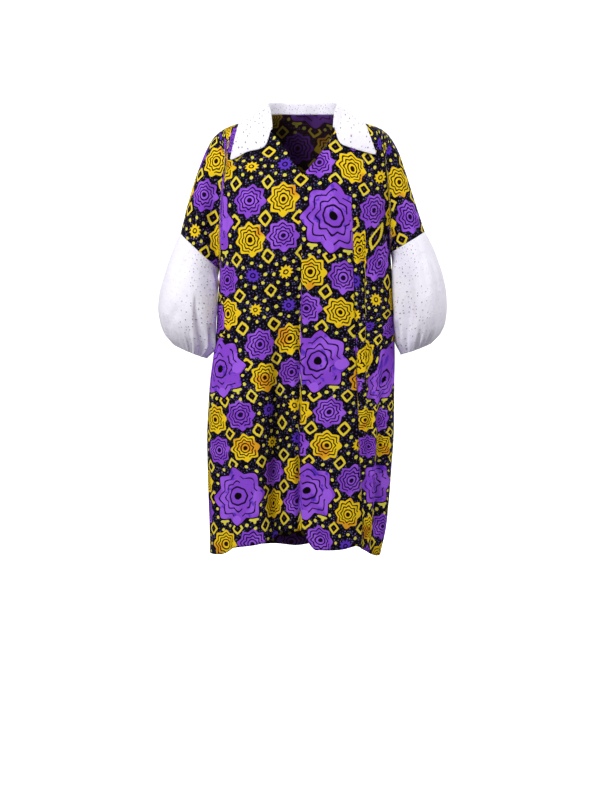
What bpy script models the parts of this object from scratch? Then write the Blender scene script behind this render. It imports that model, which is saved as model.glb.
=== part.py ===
# Bubu dress: a knee-length, wide, dropped-shoulder dress with a collar, a V slit and balloon sleeves.
# It hangs as worn. Sizes are in millimetres until a mesh is made, X to the viewer's right,
# the dress faces -Y, Z is up, and zero is where the shoulder seams meet the neckline.

import bpy
import numpy as np

millimetre = 0.001

# Driving sizes
bodyWall = 2.0
sleeveWall = 1.8
collarWall = 1.8
seamGap = 0.3            # between front and back at shoulders and sides
armholeGap = 0.45        # between body and sleeve
collarGap = 0.7          # between neckline and collar stand
collarClearance = 2.0    # under the collar leaf
ridgeClearance = 1.5     # more of it where the leaf crosses the shoulder

halfColumns = 26         # columns from the centre to a side seam
neckSwerve = 26.0        # how far the columns beside the neck swing outward
upperRows = 11           # rows from the shoulder to the underarm
lowerRows = 14           # rows from the underarm to the hem
neckColumn = 8           # column at the shoulder neck point
slitColumn = 5           # column at the top of the V slit
columnCrowding = 0.75    # how far the columns crowd towards the side seams, 0 to 1
neckSpacing = 2.0        # crowds the columns beside the neck towards the shoulder
centreTurn = 0.55        # rows of the upper part, spaced like steps round an arc: at the centre
sideTurn = 0.37          # and how much further round it at the side seams
sideTurnFrom = 0.8       # share of the width where that begins
neckRowPower = 1.2       # spacing of the rows below the neckline
neckRowColumns = 4       # columns over which that fades out
neckBow = 3.1            # how the swerve beside the neck is spread down the rows
hemLevel = -1000.0       # height at which the hem's tables are read
sleeveSides = 48
sleeveRings = 12
gatherWaves = 12         # around each sleeve hem

underarmReach = 130.0    # distance over which the underarm cloth bridges
armHalfDepth = 57.0      # front to back, half the upper arm of the dress
ringPower = 2.4          # roundness of the body's sections
armFade = 60.0           # height below the underarm over which the arm's form ends
cornerTurn = (0.5, 0, -0.87)   # way the wall faces at the underarm corner, right side
neckHump = 40.0          # the shoulder line carried on over the open neck
frontShoulderDrop = 260.0   # height over which the front rounds off into the shoulder
backShoulderDrop = 175.0
blendPower = 5.0         # how tightly body and arm join
normalSmoothing = 4      # passes, so that the wall stays whole in tight creases
underarmBlend = 2.2      # the same close to the underarm, where the cloth bridges

# Shoulder line from the neck to the sleeve seam, x from the centre and z
shoulderLine = {
    "left": [(-77, 0), (-112, -9), (-146, -19), (-177, -31), (-200, -47), (-218, -73),
             (-231, -101), (-249, -150), (-267, -209), (-283, -273)],
    "right": [(80, 0), (112, -9), (146, -19), (180, -31), (201, -47), (223, -82),
              (241, -132), (263, -200), (286, -269)],
}
underarm = {"left": (-193, -357), "right": (207, -317)}

# Neckline from the shoulder neck point down to the top of the slit, then the slit to its bottom
frontNeck = {
    "left": [(-77, 0), (-77, -14), (-76, -28), (-73, -42)],
    "right": [(80, 0), (80, -13), (79, -26), (76, -38)],
}
slitEdge = {
    "left": [(-73, -42), (-56, -58), (-33, -93), (-14, -122), (1, -144)],
    "right": [(76, -38), (64, -63), (44, -91), (24, -118), (1, -144)],
}
backNeck = {
    "left": [(-77, 0), (-66, 3), (-36, 5), (0, 5)],
    "right": [(80, 0), (68, 3), (36, 5), (0, 5)],
}

# Sections of the body: height, left edge, right edge, centre fold, half depth in front and behind
bodySections = [
    (-1040, -217, 184, -4, 126, 114),
    (-1025, -218, 187, -4, 126, 114),
    (-960, -219, 200, -5, 125, 113),
    (-898, -221, 206, -5, 124, 112),
    (-815, -223, 212, -5, 122, 111),
    (-750, -224, 216, -5, 121, 110),
    (-690, -221, 217, -5, 120, 109),
    (-627, -217, 217, -5, 119, 107),
    (-573, -210, 218, -4, 118, 104),
    (-517, -202, 217, -4, 118, 101),
    (-430, -197, 213, -3, 119, 98),
    (-357, -193, 209, -2, 121, 97),
    (-317, -199, 207, -1, 121, 97),
    (-280, -203, 211, 0, 120, 97),
    (-200, -205, 213, 1, 118, 97),
    (0, -205, 213, 1, 114, 96),
    (60, -205, 213, 1, 114, 96),
]

# Hem height against x, front and back
frontHem = [
    (-225, -1025), (-190, -1018), (-160, -1000), (-125, -992), (-89, -984), (-62, -972),
    (-45, -958), (4, -957), (14, -982), (33, -1000), (90, -999), (127, -994), (157, -1010),
    (190, -1031),
]
backHem = [(-225, -1025), (-120, -1020), (-30, -1027), (60, -1021), (190, -1031)]

# Large folds, each a table of height, x, inward depth and half width.
# A negative depth is a ridge.
frontFolds = [
    [(-290, -2, 0, 9), (-380, -4, 6, 10), (-620, -5, 10, 11), (-1000, -4, 14, 12)],
    [(-210, 112, 0, 12), (-300, 116, 7, 12), (-640, 127, 9, 13), (-830, 133, 11, 14),
     (-1000, 147, 14, 15)],
    [(-300, 145, 0, 10), (-420, 146, 6, 11), (-640, 149, 0, 12)],
    [(-480, -45, 0, 22), (-640, -47, 7, 22), (-757, -50, 9, 21), (-840, -60, 9, 22),
     (-1000, -46, 10, 22)],
    [(-560, 182, 0, 16), (-757, 184, 9, 17), (-850, 184, 10, 17), (-1000, 168, 8, 16)],
    [(-560, -175, 0, 22), (-760, -186, 8, 22), (-1000, -180, 10, 22)],
    [(-480, -115, 0, 34), (-800, -118, -8, 34), (-1000, -118, -12, 32)],
    [(-520, 62, 0, 30), (-800, 64, -8, 30), (-1000, 72, -11, 30)],
]
backFolds = [
    [(-120, -74, 0, 18), (-340, -80, 6, 20), (-760, -92, 11, 22), (-1030, -104, 15, 24)],
    [(-120, 70, 0, 18), (-360, 78, 5, 20), (-760, 84, 12, 22), (-1030, 96, 15, 24)],
    [(-260, -8, 0, 22), (-640, -6, 7, 22), (-1030, -10, 12, 24)],
    [(-420, -160, 0, 20), (-800, -166, 9, 20), (-1030, -164, 11, 20)],
    [(-440, 158, 0, 20), (-780, 162, 8, 20), (-1030, 152, 11, 18)],
    [(-380, -48, 0, 26), (-900, -50, -8, 26), (-1030, -54, -10, 26)],
    [(-380, 40, 0, 26), (-900, 42, -8, 26), (-1030, 46, -10, 26)],
]
# Creases where the upper arm meets the body, in front and behind
armCreases = [
    [(-340, -190, 0, 15), (-300, -190, 8, 15), (-245, -188, 16, 15), (-180, -184, 11, 16),
     (-110, -174, 0, 18)],
    [(-300, 205, 0, 15), (-270, 204, 8, 15), (-220, 203, 16, 15), (-160, 198, 10, 16),
     (-95, 190, 0, 18)],
]
backCreaseShare = 0.7    # depth of the arm creases behind, against those in front
foldFade = 30.0          # folds fade out over this depth towards the seams

# Sleeve sections: share of the length, outer x and z, inner x and z, half depth, gather height
sleeveSections = {
    "left": [
        (0.00, -283, -273, -193, -357, 57, 0.0),
        (0.10, -297, -303, -199, -384, 66, 0.0),
        (0.25, -311, -340, -202, -415, 75, 0.0),
        (0.40, -323, -378, -203, -445, 81, 0.3),
        (0.55, -333, -415, -206, -474, 83, 0.8),
        (0.68, -336, -448, -207, -500, 81, 1.4),
        (0.80, -331, -480, -208, -523, 74, 2.2),
        (0.90, -320, -508, -210, -543, 61, 3.0),
        (1.00, -301, -532, -223, -565, 41, 3.2),
    ],
    "right": [
        (0.00, 286, -269, 207, -317, 57, 0.0),
        (0.10, 303, -299, 214, -352, 66, 0.0),
        (0.25, 319, -337, 217, -395, 75, 0.0),
        (0.40, 331, -374, 219, -430, 81, 0.3),
        (0.55, 338, -410, 221, -462, 83, 0.8),
        (0.68, 340, -444, 222, -488, 81, 1.4),
        (0.80, 336, -478, 224, -510, 74, 2.2),
        (0.90, 324, -506, 227, -532, 61, 3.0),
        (1.00, 303, -529, 232, -556, 38, 3.2),
    ],
}

# Collar: place round the neck (0 at the back centre, 1 at the front end), rise and outward lean
# of the roll, then x and z of the outer edge on the left side and on the right side
collarSections = [
    (0.00, 29, 3, 0, -44, 0, -44),
    (0.18, 29, 3, -40, -44, 40, -44),
    (0.36, 30, 3, -84, -40, 84, -40),
    (0.55, 31, 2, -119, -29, 118, -29),
    (0.73, 30, 2, -143, -19, 142, -19),
    (0.82, 25, 3, -147, -32, 147, -30),
    (0.91, 14, 4, -156, -67, 158, -60),
    (1.00, 8, 4, -166, -111, 172, -98),
]
# Front edge of each collar leaf: share of its length, x and z
collarFrontEdge = {
    "left": [(0.0, -74, -44), (0.2, -81, -86), (0.4, -100, -93), (0.6, -124, -94), (0.8, -146, -105),
             (1.0, -166, -111)],
    "right": [(0.0, 76, -41), (0.2, 84, -80), (0.4, 99, -85), (0.6, 122, -90), (0.8, 147, -94),
              (1.0, 172, -98)],
}
collarLeafRows = 5
rollHalfWidth = 4.5
ridgePlace = 0.73        # place round the neck where the collar crosses the shoulder seam
ridgeSpread = 0.1
lyingPlace = 0.8         # from here to the front end the collar lies over onto the dress
lyingRun = 0.18
frontLeafPlace = 0.78    # from here the leaf follows the collar's front edge
frontLeafPower = 1.5


def smoothTable(rows, column, at):
    """One column of a table against its first column, without overshoot."""
    ordered = sorted(rows)
    keys = np.array([row[0] for row in ordered], dtype=float)
    values = np.array([row[column] for row in ordered], dtype=float)
    steps = np.diff(keys)
    rises = np.diff(values) / steps
    slopes = np.zeros(len(keys))
    same = rises[:-1] * rises[1:] > 0
    slopes[1:-1][same] = 2 * rises[:-1][same] * rises[1:][same] / (rises[:-1] + rises[1:])[same]
    slopes[0] = rises[0]
    slopes[-1] = rises[-1]
    at = np.clip(np.asarray(at, dtype=float), keys[0], keys[-1])
    cell = np.clip(np.searchsorted(keys, at) - 1, 0, len(steps) - 1)
    step = steps[cell]
    share = (at - keys[cell]) / step
    rest = 1 - share
    return (
        (1 + 2 * share) * rest**2 * values[cell]
        + share * rest**2 * step * slopes[cell]
        + share**2 * (3 - 2 * share) * values[cell + 1]
        - share**2 * rest * step * slopes[cell + 1]
    )


def pathPoint(path, share):
    """Point at a share of a path's length."""
    corners = np.array(path, dtype=float)
    lengths = np.concatenate([[0], np.cumsum(np.hypot(*np.diff(corners, axis=0).T))])
    rows = [(length, *corner) for length, corner in zip(lengths / lengths[-1], corners)]
    return smoothTable(rows, 1, share), smoothTable(rows, 2, share)


def topEdge(columns, isFront):
    """Top edge of a panel in front view, for each column from -halfColumns to halfColumns."""
    x = np.zeros(len(columns))
    z = np.zeros(len(columns))
    for i, column in enumerate(columns):
        side = "left" if column < 0 else "right"
        place = abs(column)
        if place >= neckColumn:
            share = (place - neckColumn) / (halfColumns - neckColumn)
            x[i], z[i] = pathPoint(shoulderLine[side], share)
        elif not isFront:
            x[i], z[i] = pathPoint(backNeck[side], 1 - place / neckColumn)
        elif place >= slitColumn:
            share = ((neckColumn - place) / (neckColumn - slitColumn)) ** neckSpacing
            x[i], z[i] = pathPoint(frontNeck[side], share)
        else:
            x[i], z[i] = pathPoint(slitEdge[side], 1 - place / slitColumn)
    return x, z


def sectionX(columns, z):
    """x of each column on the body's section at height z."""
    share = np.abs(columns) / halfColumns
    crowded = np.sin(np.pi / 2 * share) ** (2 / ringPower)
    spread = columnCrowding * crowded + (1 - columnCrowding) * share
    centre = smoothTable(bodySections, 3, z)
    edge = np.where(columns < 0, smoothTable(bodySections, 1, z), smoothTable(bodySections, 2, z))
    return centre + (edge - centre) * spread


def shoulderDistance(x, z, side):
    """Distance from a side's shoulder line, which is carried on straight past the sleeve seam."""
    steps = np.linspace(0, 1, 33)
    lineX, lineZ = pathPoint(shoulderLine[side], steps)
    runX = lineX[-1] - lineX[-2]
    runZ = lineZ[-1] - lineZ[-2]
    lineX = np.append(lineX, lineX[-1] + 14 * runX)
    lineZ = np.append(lineZ, lineZ[-1] + 14 * runZ)
    nearest = np.full(np.shape(x), 1e9)
    for i in range(len(lineX) - 1):
        dx = lineX[i + 1] - lineX[i]
        dz = lineZ[i + 1] - lineZ[i]
        share = np.clip(((x - lineX[i]) * dx + (z - lineZ[i]) * dz) / (dx * dx + dz * dz), 0, 1)
        gap = np.hypot(x - lineX[i] - share * dx, z - lineZ[i] - share * dz)
        nearest = np.minimum(nearest, gap)
    return nearest


def shoulderHeight(x):
    """Height of the shoulder line over x, with a hump where the neck is open."""
    rows = []
    for side in ("left", "right"):
        rows += [corner for corner in shoulderLine[side] if abs(corner[0]) < 230]
    rows += [(0, neckHump), (-40, 0.73 * neckHump), (40, 0.73 * neckHump)]
    return smoothTable(rows, 1, x)


def halfDepth(x, z, isFront):
    """How far the cloth stands in front of (or behind) the seams at a point of the front view."""
    centre = smoothTable(bodySections, 3, z)
    left = centre - smoothTable(bodySections, 1, z)
    right = smoothTable(bodySections, 2, z) - centre
    across = np.clip(np.where(x < centre, (centre - x) / left, (x - centre) / right), 0, 1)
    section = (1 - across**ringPower) ** (1 / ringPower)
    drop = frontShoulderDrop if isFront else backShoulderDrop
    below = np.clip((shoulderHeight(x) - z) / drop, 0, 1)
    rounding = np.sqrt(1 - (1 - below) ** 2)
    body = smoothTable(bodySections, 4 if isFront else 5, z) * section * rounding
    arm = np.zeros(np.shape(x))
    for side in ("left", "right"):
        radius = shoulderDistance(*underarm[side], side) / 2
        inward = np.clip(shoulderDistance(x, z, side) / radius, 0, 2)
        reach = armHalfDepth * np.sqrt(np.clip(1 - (1 - inward) ** 2, 0, 1))
        armSide = x < 0 if side == "left" else x >= 0
        aboveUnderarm = np.clip((z - underarm[side][1] + armFade) / armFade, 0, 1)
        arm = np.where(armSide, reach * aboveUnderarm, arm)
    near = np.ones(np.shape(x))
    for side in ("left", "right"):
        reachOut = np.hypot(x - underarm[side][0], z - underarm[side][1])
        near = np.minimum(near, np.clip(reachOut / underarmReach, 0, 1))
    power = underarmBlend + (blendPower - underarmBlend) * near
    return (body**power + arm**power) ** (1 / power)


def foldDepth(x, z, folds):
    """Sum of the folds at a point of the front view."""
    total = np.zeros(np.shape(x))
    for fold in folds:
        middle = smoothTable(fold, 1, z)
        depth = smoothTable(fold, 2, z)
        width = smoothTable(fold, 3, z)
        total += depth * np.exp(-(((x - middle) / width) ** 2))
    return total


def unit(vectors):
    return vectors / np.maximum(np.linalg.norm(vectors, axis=-1, keepdims=True), 1e-9)


def flatNormals(edge, outward):
    """Normals of an edge that lies in the plane of the seams, on the side of outward."""
    along = np.gradient(edge, axis=0)
    normals = np.stack([-along[:, 2], 0 * along[:, 0], along[:, 0]], axis=-1)
    flip = np.sign((normals * outward).sum(axis=-1, keepdims=True))
    return unit(normals * np.where(flip == 0, 1, flip))


def panelNormals(points, isFront):
    """Outward normals of a panel's grid, level with the seams along its seam edges."""
    down = np.gradient(points, axis=0)
    across = np.gradient(points, axis=1)
    normals = unit(np.cross(down, across) if isFront else np.cross(across, down))
    normals = levelWithSeams(normals, points)
    for _ in range(normalSmoothing):
        spread = np.pad(normals, ((1, 1), (1, 1), (0, 0)), mode="edge")
        around = spread[:-2, 1:-1] + spread[2:, 1:-1] + spread[1:-1, :-2] + spread[1:-1, 2:]
        normals = levelWithSeams(unit(normals * 2 + around), points)
    return normals


def levelWithSeams(normals, points):
    """Turns the normals of seam edges into the plane of the seam."""
    for column, side in ((0, "left"), (-1, "right")):
        outward = np.array([-1.0 if side == "left" else 1.0, 0, 0])
        normals[upperRows:, column] = flatNormals(points[upperRows:, column], outward)
        normals[: upperRows + 1, column] = armholeNormals(points[: upperRows + 1, column], side)
    corner = unit(np.array(cornerTurn))
    normals[upperRows, 0] = corner * [-1, 1, 1]
    normals[upperRows, -1] = corner
    shoulders = halfColumns - neckColumn
    up = np.array([0, 0, 1.0])
    normals[0, 1 : shoulders + 1] = flatNormals(points[0, : shoulders + 1], up)[1:]
    normals[0, -shoulders - 1 : -1] = flatNormals(points[0, -shoulders - 1 :], up)[:-1]
    return normals


def armholeNormals(points, side):
    """Normals of the armhole's edge, which stay in the plane of the sleeve seam."""
    outer = np.array([shoulderLine[side][-1][0], 0, shoulderLine[side][-1][1]], dtype=float)
    inner = np.array([underarm[side][0], 0, underarm[side][1]], dtype=float)
    middle = (outer + inner) / 2
    axis = unit(outer - inner)
    reach = np.linalg.norm(outer - inner) / 2
    along = ((points - middle) @ axis) / reach**2
    depth = points[:, 1] / armHalfDepth**2
    return unit(along[:, None] * axis + depth[:, None] * np.array([0, 1.0, 0]))


def panelGrid(isFront):
    """Outer and inner points of the front or the back, rows down and columns across."""
    columns = np.arange(-halfColumns, halfColumns + 1)
    topX, topZ = topEdge(columns, isFront)
    lowZ = np.interp(columns, [-halfColumns, halfColumns], [underarm["left"][1], underarm["right"][1]])
    lowX = sectionX(columns, lowZ)
    hem = frontHem if isFront else backHem
    hemZ = smoothTable(hem, 1, sectionX(columns, np.full(len(columns), hemLevel)))
    rowsX = []
    rowsZ = []
    atSide = np.clip((np.abs(columns) / halfColumns - sideTurnFrom) / (1 - sideTurnFrom), 0, 1)
    turn = centreTurn + sideTurn * atSide**2
    atNeck = 1 - np.clip((np.abs(columns) - neckColumn + 1) / neckRowColumns, 0, 1)
    for row in range(upperRows):
        rounded = (1 - np.cos(np.pi * turn * row / upperRows)) / (1 - np.cos(np.pi * turn))
        share = rounded + ((row / upperRows) ** neckRowPower - rounded) * atNeck
        fromNeck = (np.abs(columns) - neckColumn - 0.5) / neckRowColumns
        swerve = neckSwerve * np.exp(-(fromNeck**2))
        bow = neckBow * np.sqrt(share) * (1 - share) ** 1.5
        rowsX.append(topX + (lowX - topX) * share + np.sign(columns) * swerve * bow)
        rowsZ.append(topZ + (lowZ - topZ) * share)
    for row in range(lowerRows + 1):
        z = lowZ + (hemZ - lowZ) * row / lowerRows
        rowsZ.append(z)
        rowsX.append(sectionX(columns, z))
    x = np.array(rowsX)
    z = np.array(rowsZ)
    depth = halfDepth(x, z, isFront)
    shoulders = halfColumns - neckColumn + 1
    depth[0, :shoulders] = 0
    depth[0, -shoulders:] = 0
    depth[upperRows:, [0, -1]] = 0
    facing = -1 if isFront else 1
    points = np.stack([x, facing * depth, z], axis=-1)
    fold = foldDepth(x, z, frontFolds if isFront else backFolds)
    fold += foldDepth(x, z, armCreases) * (1 if isFront else backCreaseShare)
    fold *= np.clip(depth / foldFade, 0, 1)
    fold[:, [0, -1]] = 0
    points = points - panelNormals(points, isFront) * fold[..., None]
    inner = points - panelNormals(points, isFront) * bodyWall
    shift = np.array([0, facing * seamGap / 2, 0])
    return points + shift, inner + shift


def sleeveGrid(side):
    """Outer and inner points of a sleeve, rings down and sides round from its outer edge."""
    rows = sleeveSections[side]
    shares = np.linspace(0, 1, sleeveRings + 1)
    outer = np.stack([smoothTable(rows, 1, shares), 0 * shares, smoothTable(rows, 2, shares)], axis=-1)
    inner = np.stack([smoothTable(rows, 3, shares), 0 * shares, smoothTable(rows, 4, shares)], axis=-1)
    depth = smoothTable(rows, 5, shares)
    gather = smoothTable(rows, 6, shares)
    angle = 2 * np.pi * np.arange(sleeveSides) / sleeveSides
    middle = (outer + inner) / 2
    reach = (outer - inner) / 2
    ripple = 1 + np.outer(gather, np.cos(gatherWaves * angle)) / depth[:, None]
    points = middle[:, None, :] + (ripple * np.cos(angle))[..., None] * reach[:, None, :]
    points[..., 1] = -depth[:, None] * ripple * np.sin(angle)
    down = np.gradient(points, axis=0)
    across = (np.roll(points, -1, axis=1) - np.roll(points, 1, axis=1)) / 2
    normals = unit(np.cross(across, down))
    outwards = points - middle[:, None, :]
    normals *= np.sign((normals * outwards).sum(axis=-1, keepdims=True))
    normals[0] = armholeNormals(points[0], side)
    seam = outer[0] - inner[0]
    downArm = unit(np.array([seam[2], 0, -seam[0]]))
    downArm = downArm * -np.sign(downArm[2])
    shift = downArm * armholeGap
    return points + shift, points + shift - normals * sleeveWall


def clearOfBody(points, clearance):
    """Moves points out until they stand clear of the body's cloth."""
    moved = points.copy()
    nudge = 0.5
    for _ in range(8):
        x, y, z = moved.T
        isFront = y < 0

        def excess(atX, atZ):
            depth = np.where(isFront, halfDepth(atX, atZ, True), halfDepth(atX, atZ, False))
            above = np.maximum(atZ - shoulderHeight(atX), 0)
            return y**2 - np.where(above > 0, -2 * armHalfDepth * above, depth**2)

        value = excess(x, z)
        slopeX = (excess(x + nudge, z) - excess(x - nudge, z)) / (2 * nudge)
        slopeZ = (excess(x, z + nudge) - excess(x, z - nudge)) / (2 * nudge)
        slope = np.stack([slopeX, 2 * y, slopeZ], axis=-1)
        steep = np.maximum(np.linalg.norm(slope, axis=-1), 1.0)
        short = np.clip(clearance - value / steep, 0, 6)
        moved = moved + slope / steep[:, None] * short[:, None]
    return moved


def neckRim(frontGrid, backGrid, row):
    """Points along the neckline from the left end of the collar to the right end."""
    centre = halfColumns
    left = [frontGrid[row, centre - column] for column in range(slitColumn, neckColumn)]
    behind = [backGrid[row, centre + column] for column in range(-neckColumn, neckColumn + 1)]
    right = [frontGrid[row, centre + column] for column in range(neckColumn - 1, slitColumn - 1, -1)]
    return np.array(left + behind + right)


def halved(points):
    """The same run of points with one more in the middle of each step."""
    steps = np.arange(2 * len(points) - 1) / 2
    known = np.arange(len(points))
    return np.stack([np.interp(steps, known, points[:, i]) for i in range(3)], axis=-1)


def collarGrid(panels):
    """Both faces of the collar, rows from the neckline over the roll to the outer edge."""
    (frontOuter, frontInner), (backOuter, backInner) = panels
    rimOuter = neckRim(frontOuter, backOuter, 0)
    rimInner = neckRim(frontInner, backInner, 0)
    shoulders = [neckColumn - slitColumn, -1 - neckColumn + slitColumn]
    rimOuter[shoulders, 1] = 0
    rimInner[shoulders, 1] = 0
    rimOuter = halved(rimOuter)
    rimInner = halved(rimInner)
    count = len(rimOuter)
    place = np.abs(np.linspace(-1, 1, count))
    side = np.where(np.arange(count) < count / 2, -1.0, 1.0)
    side[count // 2] = 1.0
    rise = smoothTable(collarSections, 1, place)
    lean = smoothTable(collarSections, 2, place)
    along = np.gradient(rimOuter, axis=0)
    outward = unit(np.stack([along[:, 1], -along[:, 0], 0 * place], axis=-1))
    outward *= np.sign((outward[:, :2] * (rimOuter[:, :2] - [0, 8])).sum(axis=-1, keepdims=True))
    lying = np.clip((place - lyingPlace) / lyingRun, 0, 1)[:, None]
    clothOut = (rimOuter - rimInner) / bodyWall
    clothUp = unit(np.cross(clothOut, along))
    clothUp *= np.sign(clothUp[:, 2:3])
    up = unit(clothUp * lying + np.array([0, 0, 1.0]) * (1 - lying))
    outward = unit(clothOut * lying + outward * (1 - lying))
    base = (rimOuter + rimInner) / 2
    roll = base + up * rise[:, None] + outward * lean[:, None]
    isLeft = side < 0
    edgeX = np.where(isLeft, smoothTable(collarSections, 3, place), smoothTable(collarSections, 5, place))
    edgeZ = np.where(isLeft, smoothTable(collarSections, 4, place), smoothTable(collarSections, 6, place))
    behind = place < ridgePlace
    edgeY = np.where(behind, halfDepth(edgeX, edgeZ, False), -halfDepth(edgeX, edgeZ, True))
    edgeY *= edgeZ < shoulderHeight(edgeX)
    edge = np.stack([edgeX, edgeY, edgeZ], axis=-1)
    lift = collarGap * up
    low = np.minimum(rise, 2 * rollHalfWidth) / 2
    rows = [rimInner + lift]
    halfway = (base + roll - up * low[:, None]) / 2
    rows.append(halfway - outward * collarWall / 2)
    rows.append(roll - outward * rollHalfWidth * 0.5 - up * low[:, None] * 0.6)
    rows.append(roll)
    start = roll + outward * rollHalfWidth - up * low[:, None]
    toFront = np.clip((place - frontLeafPlace) / (1 - frontLeafPlace), 0, 1)
    frontShare = toFront**frontLeafPower
    onRidge = np.exp(-(((place - ridgePlace) / ridgeSpread) ** 2))
    for share in np.linspace(0, 1, collarLeafRows + 1):
        leaf = start + (edge - start) * share
        for name, onSide in (("left", isLeft), ("right", ~isLeft)):
            path = collarFrontEdge[name]
            for column, axis in ((1, 0), (2, 2)):
                straight = path[0][column] + (path[-1][column] - path[0][column]) * share
                leaf[:, axis] += onSide * frontShare * (smoothTable(path, column, share) - straight)
        rows.append(clearOfBody(leaf, collarWall + collarClearance + ridgeClearance * onRidge))
    upper = np.array(rows)
    across = np.gradient(upper, axis=1)
    down = np.gradient(upper, axis=0)
    normals = unit(np.cross(down, across))
    normals *= np.sign((normals[-1] * (outward + up)).sum(axis=-1))[None, :, None]
    under = upper - normals * collarWall
    under[0] = rimOuter + lift
    return upper, under


def wallMesh(name, outer, inner, isTube, colour):
    """A closed wall between two grids of points, as one named object."""
    rows, columns = outer.shape[:2]
    points = np.concatenate([outer.reshape(-1, 3), inner.reshape(-1, 3)]) * millimetre
    offset = rows * columns
    faces = []

    def addQuad(a, b, c, d):
        faces.append((a, b, c))
        faces.append((a, c, d))

    lastColumn = columns if isTube else columns - 1
    for row in range(rows - 1):
        for column in range(lastColumn):
            right = (column + 1) % columns
            quad = [row * columns + column, (row + 1) * columns + column,
                    (row + 1) * columns + right, row * columns + right]
            if column >= columns // 2:
                quad = quad[1:] + quad[:1]
            addQuad(*quad)
            addQuad(*[corner + offset for corner in reversed(quad)])
    rim = []
    for column in range(lastColumn):
        right = (column + 1) % columns
        rim.append((right, column))
        bottom = (rows - 1) * columns
        rim.append((bottom + column, bottom + right))
    if not isTube:
        for row in range(rows - 1):
            rim.append((row * columns, (row + 1) * columns))
            end = columns - 1
            rim.append(((row + 1) * columns + end, row * columns + end))
    for a, b in rim:
        addQuad(b, a, a + offset, b + offset)
    mesh = bpy.data.meshes.new(name)
    mesh.from_pydata([tuple(point) for point in points], [], faces)
    mesh.validate()
    made = bpy.data.objects.new(name, mesh)
    bpy.context.scene.collection.objects.link(made)
    if signedVolume(mesh) < 0:
        mesh.flip_normals()
    for polygon in mesh.polygons:
        polygon.use_smooth = True
    mesh.materials.append(clothMaterial(name, colour))
    return made


def signedVolume(mesh):
    total = 0.0
    for polygon in mesh.polygons:
        a, b, c = (mesh.vertices[i].co for i in polygon.vertices)
        total += a.dot(b.cross(c)) / 6
    return total


def clothMaterial(name, colour):
    material = bpy.data.materials.new(name + "_cloth")
    material.use_nodes = True
    shader = material.node_tree.nodes["Principled BSDF"]
    shader.inputs["Base Color"].default_value = (*colour, 1)
    shader.inputs["Roughness"].default_value = 0.85
    material.diffuse_color = (*colour, 1)
    return material


for old in list(bpy.data.objects):
    bpy.data.objects.remove(old)

printColour = (0.16, 0.06, 0.30)
eyeletColour = (0.90, 0.89, 0.93)

frontPanel = panelGrid(True)
backPanel = panelGrid(False)
wallMesh("front", *frontPanel, False, printColour)
wallMesh("back", *backPanel, False, printColour)
wallMesh("sleeve_left", *sleeveGrid("left"), True, eyeletColour)
wallMesh("sleeve_right", *sleeveGrid("right"), True, eyeletColour)
wallMesh("collar", *collarGrid((frontPanel, backPanel)), False, eyeletColour)
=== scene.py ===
import math
from functools import partial

import bpy
import numpy as np
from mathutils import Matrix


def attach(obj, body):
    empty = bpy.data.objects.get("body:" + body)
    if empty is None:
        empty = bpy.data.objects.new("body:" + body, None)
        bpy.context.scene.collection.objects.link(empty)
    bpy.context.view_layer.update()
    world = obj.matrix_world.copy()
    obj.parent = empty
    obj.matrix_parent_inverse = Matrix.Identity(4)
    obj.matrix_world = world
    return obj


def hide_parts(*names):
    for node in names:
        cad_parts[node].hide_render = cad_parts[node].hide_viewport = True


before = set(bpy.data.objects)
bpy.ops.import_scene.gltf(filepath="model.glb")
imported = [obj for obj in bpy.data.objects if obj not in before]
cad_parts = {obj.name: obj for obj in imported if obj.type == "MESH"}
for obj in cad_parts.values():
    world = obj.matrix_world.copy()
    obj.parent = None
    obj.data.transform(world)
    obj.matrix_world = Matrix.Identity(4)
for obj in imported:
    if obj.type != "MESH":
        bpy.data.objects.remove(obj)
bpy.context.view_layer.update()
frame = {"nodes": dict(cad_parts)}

print("frame loaded:", ", ".join(frame["nodes"]))

# Bubu dress in printed cotton with white eyelet sleeves and collar, hanging as worn.
# Lengths are millimetres until a mesh is made; zero is the middle of the shoulder line.
millimetre = 0.001

# the one setting that each kind of node is given
nodeSetting = {
    "Math": "operation", "VectorMath": "operation", "VectorRotate": "rotation_type",
    "MapRange": "interpolation_type", "Mix": "data_type", "UVMap": "uv_map",
    "TexNoise": "noise_dimensions", "TexWhiteNoise": "noise_dimensions",
    "TexVoronoi": "voronoi_dimensions", "TexWave": "bands_direction",
}


def addNode(tree, kind, setting=None, links=(), output=0):
    node = tree.nodes.new("ShaderNode" + kind)
    if setting:
        setattr(node, nodeSetting[kind], setting)
    for key, value in links.items() if isinstance(links, dict) else enumerate(links):
        if isinstance(value, bpy.types.NodeSocket):
            tree.links.new(value, node.inputs[key])
        else:
            node.inputs[key].default_value = value
    return node.outputs if output is None else node.outputs[output]


def addObject(name, data):
    item = bpy.data.objects.new(name, data)
    bpy.context.scene.collection.objects.link(item)
    return item


def newMaterial(name, values):
    material = bpy.data.materials.new(name)
    material.use_nodes = True
    shader = material.node_tree.nodes["Principled BSDF"]
    for socket, value in values.items():
        shader.inputs[socket].default_value = value
    return material, material.node_tree, shader


def linear(hexColour):
    channels = [int(hexColour[i:i + 2], 16) / 255 for i in (1, 3, 5)]
    lit = [c / 12.92 if c <= 0.04045 else ((c + 0.055) / 1.055) ** 2.4 for c in channels]
    return (*lit, 1.0)


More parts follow.
